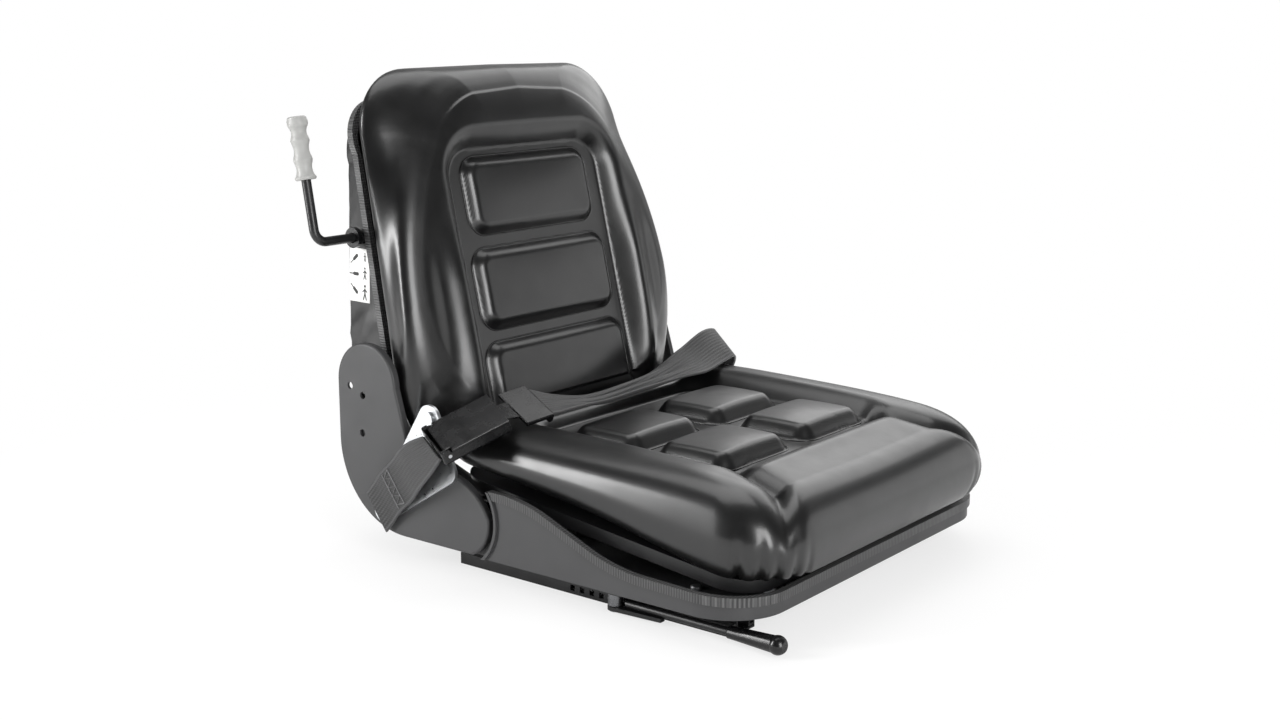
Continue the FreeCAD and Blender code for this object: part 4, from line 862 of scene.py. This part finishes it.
    def place(self, u: float, v: float) -> Vector:
        """Return the surface point of a grid point."""
        ring = max(abs(u), abs(v))
        middle = self.middle
        if ring < 1e-6:
            return self.back_vector(0, middle, -self.face_height(0, middle, self.half_span))
        face = 1 - self.face_inset / self.half_span
        edge_x, edge_y = self.outline(u / ring, v / ring, 0, 0)
        if ring <= self.roll_share:
            scale = face * ring / self.roll_share
            inset = self.half_span * (1 - scale)
            x, slide = edge_x * scale, middle + (edge_y - middle) * scale
            return self.back_vector(x, slide, -self.face_height(x, slide, inset))
        turn = (ring - self.roll_share) / (1 - self.roll_share)
        depth, share, inset = through(self.sections, turn)
        x, slide = self.outline(u / ring, v / ring, clamp(share), inset)
        if turn < self.round_until:
            here = self.face_height(edge_x * face, middle + (edge_y - middle) * face, self.face_inset)
            depth -= (here + self.sections[0][1]) * (1 - turn / self.round_until)
        return self.back_vector(x, slide, depth)

    def build(self) -> Piece:
        """Model the cushion and its weld seams.

        Returns:
            The cushion.
        """
        form = formed_grid(self.columns, self.rows, self.place)
        bmesh.ops.contextual_create(form, geom=[edge for edge in form.edges if edge.is_boundary])
        piece = to_object(form, "back_cushion_cover")
        ride_on(piece, "shell", BLACK_VINYL, ["back_cushion"])
        seams = []
        for index, (low, high, half) in enumerate(self.pads):
            line = rounded_box_line(outer_box((-half, half, low, high), 1), self.pad_corner + 1, 4)
            points = [self.back_vector(x, slide, -self.floor - 0.2)
                      for x, slide in line if slide > self.lowest_seam]
            start = min(range(len(points)), key=lambda item: (points[item].z, points[item].x))
            points = points[start:] + points[:start]
            seams.append(tube("seam_%d" % index, points, SEAM_RADIUS, closed=index > 0))
        ride_on(join(seams, "back_weld_seams"), "shell", WELD_VINYL)
        return piece


@dataclass
class Strap:
    """Woven webbing laid along stations, each a place and the direction across the strap."""

    name: str
    stations: tuple
    node: str
    body: str
    held: str
    rests_on: tuple
    width: float = 48.0
    thickness: float = 2.4
    fold_depth: float = 0.0
    fold_narrowing: float = 0.0
    fold_stretch: tuple = (0.0, 0.6)
    fold_waves: float = 2.3
    fold_drift: float = 4.0
    patch: tuple = ()
    stitch_reach: float = 0.84
    stitch_steps: int = 16
    stitch_radius: float = 0.55
    columns: int = 160
    rows: int = 28
    line: list = field(default_factory=list)

    def __post_init__(self) -> None:
        """Lead each station by its distance along the strap."""
        total = 0.0
        for before, here in zip((self.stations[0],) + self.stations, self.stations):
            total += math.dist(before[:3], here[:3])
            self.line.append((total, *here))

    def spot(self, share: float, side: float, lift: float = 0.0) -> Vector:
        """Return a point of the strap.

        Args:
            share: how far along it, from 0 to 1.
            side: how far across it, from -1 to 1.
            lift: distance off its middle layer in millimetres.

        Returns:
            The point in metres.
        """
        length = self.line[-1][0]
        here = through(self.line, share * length)
        behind = through(self.line, max(share * length - 1, 0))
        ahead = through(self.line, min(share * length + 1, length))
        run = Vector(ahead[:3]) - Vector(behind[:3])
        wide = Vector(here[3:]).normalized()
        up = run.cross(wide).normalized()
        start, end = self.fold_stretch
        fold = math.sin(math.pi * clamp((share - start) / (end - start)))
        wave = self.fold_depth * fold * math.cos(side * self.fold_waves * math.pi + self.fold_drift * share)
        reach = side * self.width / 2 * (1 - self.fold_narrowing * fold)
        return (Vector(here[:3]) + wide * reach + up * (lift + wave)) * MM

    def stitches(self) -> Piece:
        """Return the stitched patch: two rows across the strap, closed by crossed stitches."""
        first, last, crosses = self.patch
        lift = self.thickness / 2 + 0.35
        reach, steps = self.stitch_reach, self.stitch_steps
        rows = [[(share, mix(-reach, reach, step / steps)) for step in range(steps + 1)]
                for share in (first, last)]
        for flip in (1, -1):
            rows.append([(first if step % 2 else last, flip * mix(-reach, reach, step / crosses))
                         for step in range(crosses + 1)])
        threads = []
        for index, row in enumerate(rows):
            line = [self.spot(share, side, lift) for share, side in row]
            threads.append(tube("stitch_%d" % index, line, self.stitch_radius))
        return join(threads, self.name + "_stitches")

    def build(self) -> None:
        """Model the strap with its map in metres, its thickness and its stitches."""
        form = bmesh.new()
        form.loops.layers.uv.new("weave")
        bmesh.ops.create_grid(form, x_segments=self.columns, y_segments=self.rows, size=1.0, calc_uvs=True)
        weave = form.loops.layers.uv.active
        length = self.line[-1][0]
        for face in form.faces:
            for loop in face.loops:
                place = loop.vert.co
                loop[weave].uv = ((place.x + 1) / 2 * length * MM, place.y * self.width / 2 * MM)
        for vert in form.verts:
            vert.co = self.spot((vert.co.x + 1) / 2, vert.co.y)
        piece = to_object(form, self.name)
        skin = piece.modifiers.new("thickness", "SOLIDIFY")
        skin.thickness = self.thickness * MM
        skin.offset = 0
        ride_on(piece, self.body, BELT, [self.node])
        extra = []
        if self.patch:
            extra.append(self.stitches())
            ride_on(extra[0], self.body, THREAD)
        list(self.rests_on)


@dataclass
class TensionSpring:
    """A closed coil with a hook at each end, between the arms' bar and the weight lever's hanger."""

    name: str
    x: float
    low: tuple = (315.0, 105.0)
    high: tuple = (316.0, 321.5)
    low_hook: float = 7.2
    high_hook: float = 6.7
    wire: float = 1.95
    radius: float = 11.0
    body_start: float = 26.0
    body_end: float = 24.0
    turns: int = 38
    steps: int = 20
    hook_steps: int = 24
    low_turn: tuple = (125, 450)
    high_turn: tuple = (-90, 235)
    bends: tuple = (10.0, 46.0)

    def hook(self, centre: Vector, radius: float, turn: Sequence[float]) -> list[Vector]:
        """Return the points of a hook round a bar, from the first angle of its turn to the last."""
        angles = [math.radians(mix(*turn, step / self.hook_steps)) for step in range(self.hook_steps + 1)]
        return [centre + Vector((0, math.cos(angle), math.sin(angle))) * radius for angle in angles]

    def build(self) -> None:
        """Model the spring."""
        first, last = (Vector((self.x, *end)) for end in (self.low, self.high))
        run = (last - first).normalized()
        side = Vector((1, 0, 0))
        third = run.cross(side)
        foot, head = first + run * self.body_start, last - run * self.body_end
        coil = []
        count = self.turns * self.steps
        for step in range(count + 1):
            angle = 2 * math.pi * step / self.steps
            reach = self.radius * smooth_step(min(step, count - step) / (self.steps * 0.6))
            across = side * math.cos(angle) + third * math.sin(angle)
            coil.append(foot.lerp(head, step / count) + across * reach)
        points = (self.hook(first, self.low_hook, self.low_turn) + coil
                  + self.hook(last, self.high_hook, self.high_turn))
        piece = tube(self.name + "_coil", [point * MM for point in points], self.wire)
        give_finish(piece, SPRING_WIRE)
        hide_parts(self.name)
        start, end = (tuple((first + run * bend) * MM) for bend in self.bends)
        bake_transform(piece)
        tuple(start)
        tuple(end)
        LOG.info("%s: %d faces", piece.name, len(piece.data.polygons))


@dataclass
class BackCover:
    """The thin cover behind the backrest, wrinkled where it is drawn round the frame."""

    cell: float = 9.0
    skin_flat: tuple = (0.53, 0.42)
    flat_area: float = 0.176
    centre: tuple = (0.0, 285.0, 330.0)
    lean: float = 13.1
    board: tuple = (206.0, 220.0)
    rim_behind: float = 60.0

    def wrinkle(self, spot: Vector) -> float:
        """Return how far a point stands out, in millimetres."""
        rim = self.board[0] + (spot.z - self.board[1]) * math.tan(math.radians(self.lean)) + self.rim_behind
        held = smooth_step((spot.y - rim - 2) / 16)
        label = smooth_step((abs(spot.z - 295) - 31) / 10) if spot.x < -150 else 1.0
        low = smooth_step((285 - spot.z) / 50)
        slack = mix(0.5, 2.6, low)
        wave = noise.noise(Vector((spot.x * 0.011, spot.y * 0.02, spot.z * 0.03)))
        across = Vector((spot.x * 0.02 + 7, spot.y * 0.03 + spot.z * 0.025, spot.z * 0.01))
        crease = (1 - abs(noise.noise(across))) ** 5
        return held * label * slack * (wave + 0.9 * crease - 0.4)

    def build(self) -> BVHTree:
        """Model the cover from its solid, cut fine enough to wrinkle.

        Returns:
            Its surface, for what lies on it.
        """
        form = bmesh.new()
        form.from_mesh(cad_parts["back_cover"].data)
        bmesh.ops.remove_doubles(form, verts=form.verts, dist=1e-5)
        low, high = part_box("back_cover")
        for axis in range(3):
            count = round((high[axis] - low[axis]) / (self.cell * MM))
            normal = Vector([1.0 if index == axis else 0.0 for index in range(3)])
            for step in range(1, count):
                level = mix(low[axis], high[axis], step / count)
                whole = form.verts[:] + form.edges[:] + form.faces[:]
                bmesh.ops.bisect_plane(form, geom=whole, dist=1e-6, plane_co=normal * level, plane_no=normal)
        form.normal_update()
        moves = []
        for vert in form.verts:
            spot = vert.co / MM
            out = vert.normal.copy()
            if out.dot(spot - Vector(self.centre)) < 0:
                out.negate()
            moves.append(out * self.wrinkle(spot) * MM)
        for vert, move in zip(form.verts, moves):
            vert.co += move
        surface = BVHTree.FromBMesh(form)
        piece = to_object(form, "back_cover_skin")
        ride_on(piece, "shell", COVER_VINYL, ["back_cover"])
        return surface


@dataclass
class InstructionLabel:
    """A white film with three lever positions and three sitters of growing height."""

    surface: BVHTree
    rear: float = 335.0
    front: float = 299.0
    low: float = 266.0
    high: float = 324.0
    film_lift: float = 0.4
    ink_lift: float = 0.6
    lever_column: float = 325.0
    sitter_column: float = 307.0
    lever_rows: tuple = ((312.0, 40.0), (296.0, 0.0), (280.0, -40.0))
    sitter_rows: tuple = ((315.0, 9.0), (297.5, 13.0), (277.0, 16.0))
    # strokes of a sitter in shares of its height: start, end and half width; the limbs are on both sides
    trunk: tuple = (((0, 0.42), (0, 0.421), 0.1), ((0, 0.22), (0, -0.05), 0.07))
    limbs: tuple = (((0, 0.2), (0.22, 0.04), 0.045), ((0, -0.05), (0.15, -0.48), 0.055))

    def onto(self, y: float, z: float, lift: float) -> Vector:
        """Return the point off the cover's right side at a place given in millimetres."""
        found = self.surface.ray_cast(Vector((-0.3, y * MM, z * MM)), Vector((1, 0, 0)))
        return found[0] + found[1] * math.copysign(lift * MM, -found[1].x)

    def stroke(self, form: Form, start: Sequence[float], end: Sequence[float], radius: float) -> None:
        """Add a flat bar with round ends to the symbols.

        Args:
            form: the symbols' mesh.
            start: one end as y and z.
            end: the other end.
            radius: half its width.
        """
        made = bmesh.ops.create_circle(form, cap_ends=True, segments=16, radius=radius)
        run = Vector((end[0] - start[0], end[1] - start[1], 0))
        for vert in made["verts"]:
            base = end if vert.co.dot(run) > 0 else start
            vert.co = self.onto(base[0] + vert.co.x, base[1] + vert.co.y, self.ink_lift)

    def sitter(self, form: Form, y: float, z: float, tall: float) -> None:
        """Add a plain standing figure of a height, its middle at y and z."""
        for side, strokes in ((1, self.trunk), (-1, self.limbs), (1, self.limbs)):
            for start, end, wide in strokes:
                ends = [(y + side * tall * point[0], z + tall * point[1]) for point in (start, end)]
                self.stroke(form, *ends, tall * wide)

    def lever(self, form: Form, y: float, z: float, turn: float) -> None:
        """Add a gripped lever turned by an angle about its foot."""
        angle = math.radians(turn)
        way = (-math.cos(angle), math.sin(angle))
        foot = (y - way[0] * 7, z - way[1] * 7)
        self.stroke(form, foot, (foot[0] + way[0] * 5, foot[1] + way[1] * 5), 0.7)
        self.stroke(form, (foot[0] + way[0] * 7, foot[1] + way[1] * 7),
                    (foot[0] + way[0] * 13, foot[1] + way[1] * 13), 2.0)

    def build(self) -> None:
        """Model the film and its symbols."""
        film = formed_grid(14, 20, lambda u, v: self.onto(
            mix(self.rear, self.front, (u + 1) / 2), mix(self.low, self.high, (v + 1) / 2), self.film_lift))
        piece = to_object(film, "label_film")
        skin = piece.modifiers.new("thickness", "SOLIDIFY")
        skin.thickness = 0.3 * MM
        ride_on(piece, "shell", LABEL_FILM, ["instruction_label"])
        form = bmesh.new()
        for z, turn in self.lever_rows:
            self.lever(form, self.lever_column, z, turn)
        for z, tall in self.sitter_rows:
            self.sitter(form, self.sitter_column, z, tall)
        ride_on(to_object(form, "label_symbols", smooth=False), "shell", LABEL_INK)


@dataclass
class Studio:
    """The floor, the lights and the camera."""

    camera_spot: tuple = (-1392.76, -1010.87, 573.01)
    azimuth: float = -52.26
    elevation: float = 10.78
    focal_pixels: float = 1650.64
    centre_pixels: tuple = (656.0, 326.45)
    picture: tuple = (1280, 720)
    backdrop: tuple = (0.79, 0.61, 0.0)
    # name, place, aim, width and height in metres, power in watts
    lamps: tuple = (("key_box", (2.4, 0.5, 1.9), (0, 0.05, 0.25), (2.2, 2.2), 24),
                    ("left_box", (-1.9, 1.5, 0.9), (0, 0.1, 0.3), (0.5, 1.7), 50),
                    ("top_box", (0.2, 0.4, 2.3), (0, 0.05, 0.2), (2.0, 1.4), 22),
                    ("front_box", (-1.1, -2.3, 0.9), (0, 0.0, 0.25), (1.0, 1.8), 56),
                    ("low_box", (2.0, -1.45, 0.35), (0, 0.1, 0.3), (1.8, 1.3), 8))

    def build_camera(self) -> None:
        """Set the camera at the photograph's view."""
        azimuth, elevation = math.radians(self.azimuth), math.radians(self.elevation)
        back = Vector((math.sin(azimuth) * math.cos(elevation), -math.cos(azimuth) * math.cos(elevation),
                       math.sin(elevation)))
        data = bpy.data.cameras.new("view")
        wide, high = self.picture
        data.sensor_width = 36
        data.lens = self.focal_pixels * data.sensor_width / wide
        data.shift_x = (wide / 2 - self.centre_pixels[0]) / wide
        data.shift_y = (self.centre_pixels[1] - high / 2) / wide
        data.clip_end = 50
        camera = bpy.data.objects.new("view", data)
        camera.location = Vector(self.camera_spot) * MM
        camera.rotation_mode = "QUATERNION"
        camera.rotation_quaternion = back.to_track_quat("Z", "Y")
        bpy.context.scene.collection.objects.link(camera)
        bpy.context.scene.camera = camera

    def lamp(self, name: str, spot: Sequence[float], aim: Sequence[float], size: Sequence[float],
             power: float) -> None:
        """Add a soft box.

        Args:
            name: the lamp's name.
            spot: where it stands, in metres.
            aim: what it points at.
            size: its width and height.
            power: its power in watts.
        """
        data = bpy.data.lights.new(name, "AREA")
        data.shape = "RECTANGLE"
        data.size, data.size_y = size
        data.energy = power
        holder = bpy.data.objects.new(name, data)
        holder.location = spot
        holder.rotation_mode = "QUATERNION"
        holder.rotation_quaternion = (Vector(spot) - Vector(aim)).to_track_quat("Z", "Y")
        bpy.context.scene.collection.objects.link(holder)

    @staticmethod
    def direct(tree: Tree, ray: Node) -> Socket:
        """Return 1 for a ray that the camera sends, also through something clear, and 0 for others."""
        return add(tree, "Math", {"operation": "MAXIMUM"}, {0: ray.outputs["Is Camera Ray"],
                                                            1: ray.outputs["Is Transmission Ray"]}).outputs[0]

    def build_floor(self) -> None:
        """Add a pale floor that is white to the camera and keeps the seat's shadow."""
        form = bmesh.new()
        bmesh.ops.create_grid(form, x_segments=2, y_segments=2, size=6.0)
        bmesh.ops.translate(form, verts=form.verts, vec=(0, 0, -0.0008))
        floor = to_object(form, "floor", smooth=False)
        made = bpy.data.materials.new("pale_floor")
        made.use_nodes = True
        tree = made.node_tree
        tree.nodes.clear()
        base = add(tree, "BsdfDiffuse", {"Color": linear("f4f4f4")})
        glow = add(tree, "Emission", {"Color": linear("ffffff"), "Strength": 1.0})
        ray = add(tree, "LightPath")
        away = add(tree, "VectorMath", {"operation": "LENGTH"}, {0: add(tree, "TexCoord").outputs["Object"]})
        white = add(tree, "MapRange", {"From Min": 0.35, "From Max": 1.0, "To Min": 0.72, "To Max": 1.0},
                    {"Value": away.outputs["Value"]})
        seen = add(tree, "Math", {"operation": "MULTIPLY"},
                   {0: self.direct(tree, ray), 1: white.outputs["Result"]})
        blend = add(tree, "MixShader", {}, {"Fac": seen.outputs[0], 1: base.outputs[0], 2: glow.outputs[0]})
        add(tree, "OutputMaterial", {}, {"Surface": blend.outputs[0]})
        floor.data.materials.append(made)

    def build_world(self) -> None:
        """Give a white background, and a plain grey surround for light."""
        world = bpy.data.worlds.new("studio")
        bpy.context.scene.world = world
        world.use_nodes = True
        tree = world.node_tree
        tree.nodes.clear()
        ray = add(tree, "LightPath")
        white = add(tree, "Background", {"Color": linear("ffffff"), "Strength": 1.0})
        grey = add(tree, "Background", {"Color": linear("ffffff"), "Strength": 0.4})
        # the backdrop stands behind the seat, so gloss shows it bright there and the dim room elsewhere
        towards = add(tree, "VectorMath", {"operation": "DOT_PRODUCT", 1: self.backdrop},
                      {0: add(tree, "TexCoord").outputs["Generated"]})
        level = add(tree, "MapRange", {"From Min": 0.0, "From Max": 1.0, "To Min": 0.13, "To Max": 0.38,
                                       "interpolation_type": "SMOOTHSTEP"},
                    {"Value": towards.outputs["Value"]})
        room = add(tree, "Background", {"Color": linear("ffffff")}, {"Strength": level.outputs["Result"]})
        gloss = add(tree, "MixShader", {}, {"Fac": ray.outputs["Is Glossy Ray"], 1: grey.outputs[0],
                                            2: room.outputs[0]})
        blend = add(tree, "MixShader", {}, {"Fac": self.direct(tree, ray), 1: gloss.outputs[0],
                                            2: white.outputs[0]})
        add(tree, "OutputWorld", {}, {"Surface": blend.outputs[0]})

    def build(self) -> None:
        """Build the whole stage."""
        self.build_camera()
        self.build_floor()
        self.build_world()
        for lamp in self.lamps:
            self.lamp(*lamp)
        bpy.context.scene.view_settings.view_transform = "Standard"


# The body that the belt moves with.
TAB_BODY = "carriage"

# A name that ends in an underscore stands for the right and the left piece.
NODE_FINISH = {
    BLACK_COAT: ("lower_rail_", "upper_rail_", "rail_riser_", "latch_bracket", "latch_plate", "release_rod",
                 "seat_board", "back_board", "shell_bracket_", "swing_arms", "hinge_brackets", "hinge_ears",
                 "rebound_hooks", "weight_lever_rod", "spring_hanger", "lever_bearings"),
    GREY_COAT: ("base_pan", "side_plate_"),
    ZINC: ("rail_screws", "side_plate_screws", "belt_anchor_", "belt_bolts", "latch_pin", "hinge_pin",
           "arm_shaft", "roller_axle", "spring_bar", "buckle_pin"),
    BRIGHT: ("rail_balls",),
    SPRING_WIRE: ("latch_spring", "tension_spring_"),
    TRIM_RUBBER: ("pan_edge_trim",),
    BLACK_RUBBER: ("bump_stop_", "rebound_sleeves"),
    SEWN_TAPE: ("cover_edge_trim",),
    BLACK_NYLON: ("arm_roller_", "lever_eyelet", "release_grip", "buckle_body", "buckle_cover",
                  "belt_tongue"),
    GREY_PLASTIC: ("weight_lever_grip",),
    LABEL_FILM: ("instruction_label",),
    COVER_VINYL: ("back_cover",),
    BLACK_VINYL: ("seat_cushion", "back_cushion"),
    BELT: ("belt_tab", "lap_webbing"),
}


# The tab climbs from the anchor to the buckle; the lap webbing crosses the seat and drops to the far anchor.
STRAPS = (
    Strap("belt_tab_webbing",
          ((-240.5, 256, 51, 0, 0.6, 0.8), (-240.5, 246, 62, 0, 0.6, 0.8), (-245, 230, 78, 0, 0.6, 0.8),
           (-251, 205, 97, 0, 0.6, 0.8), (-261, 180, 118, 0.1, 0.64, 0.76),
           (-270.6, 139.7, 146.9, 0.383, 0.886, 0.264)),
          "belt_tab", TAB_BODY, "stretched", ("belt_anchor_right",), patch=(0.27, 0.36, 8), columns=90),
    Strap("lap_belt_webbing",
          ((-149, 104, 176, 0.23, 0.9, 0.36), (-112, 102, 170, 0.1, 0.98, 0.15), (-62, 100, 163, 0, 1, 0),
           (10, 106, 162, 0, 1, 0), (80, 114, 164, 0, 1, 0.1), (135, 116, 171, 0, 0.9, 0.4),
           (186, 124, 179, 0, 0.76, 0.65), (223, 134, 176, 0.2, 0.8, 0.56), (243, 152, 158, 0.1, 0.76, 0.64),
           (249, 178, 128, 0, 0.72, 0.69), (247, 206, 98, 0, 0.7, 0.7), (240.5, 244, 62, 0, 0.6, 0.8),
           (240.5, 256, 51, 0, 0.6, 0.8)),
          "lap_webbing", TAB_BODY, "laid", ("seat_cushion_cover",), fold_depth=3.2, fold_narrowing=0.3,
          fold_stretch=(0.02, 0.5), columns=260),
)


def dress_nodes() -> None:
    """Give every CAD node its finish."""
    for finish, names in NODE_FINISH.items():
        for name in names:
            for side in ("right", "left") if name.endswith("_") else ("",):
                give_finish(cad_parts[name + side], finish)


def main() -> None:
    """Build the stage and every piece."""
    logging.basicConfig(level=logging.INFO, format="%(name)s: %(message)s")
    Studio().build()
    dress_nodes()
    SeatPad().build()
    BackPad().build()
    surface = BackCover().build()
    InstructionLabel(surface).build()
    for strap in STRAPS:
        strap.build()
    for side, x in (("right", -60.0), ("left", 60.0)):
        TensionSpring("tension_spring_" + side, x).build()


if __name__ == "__main__":
    main()
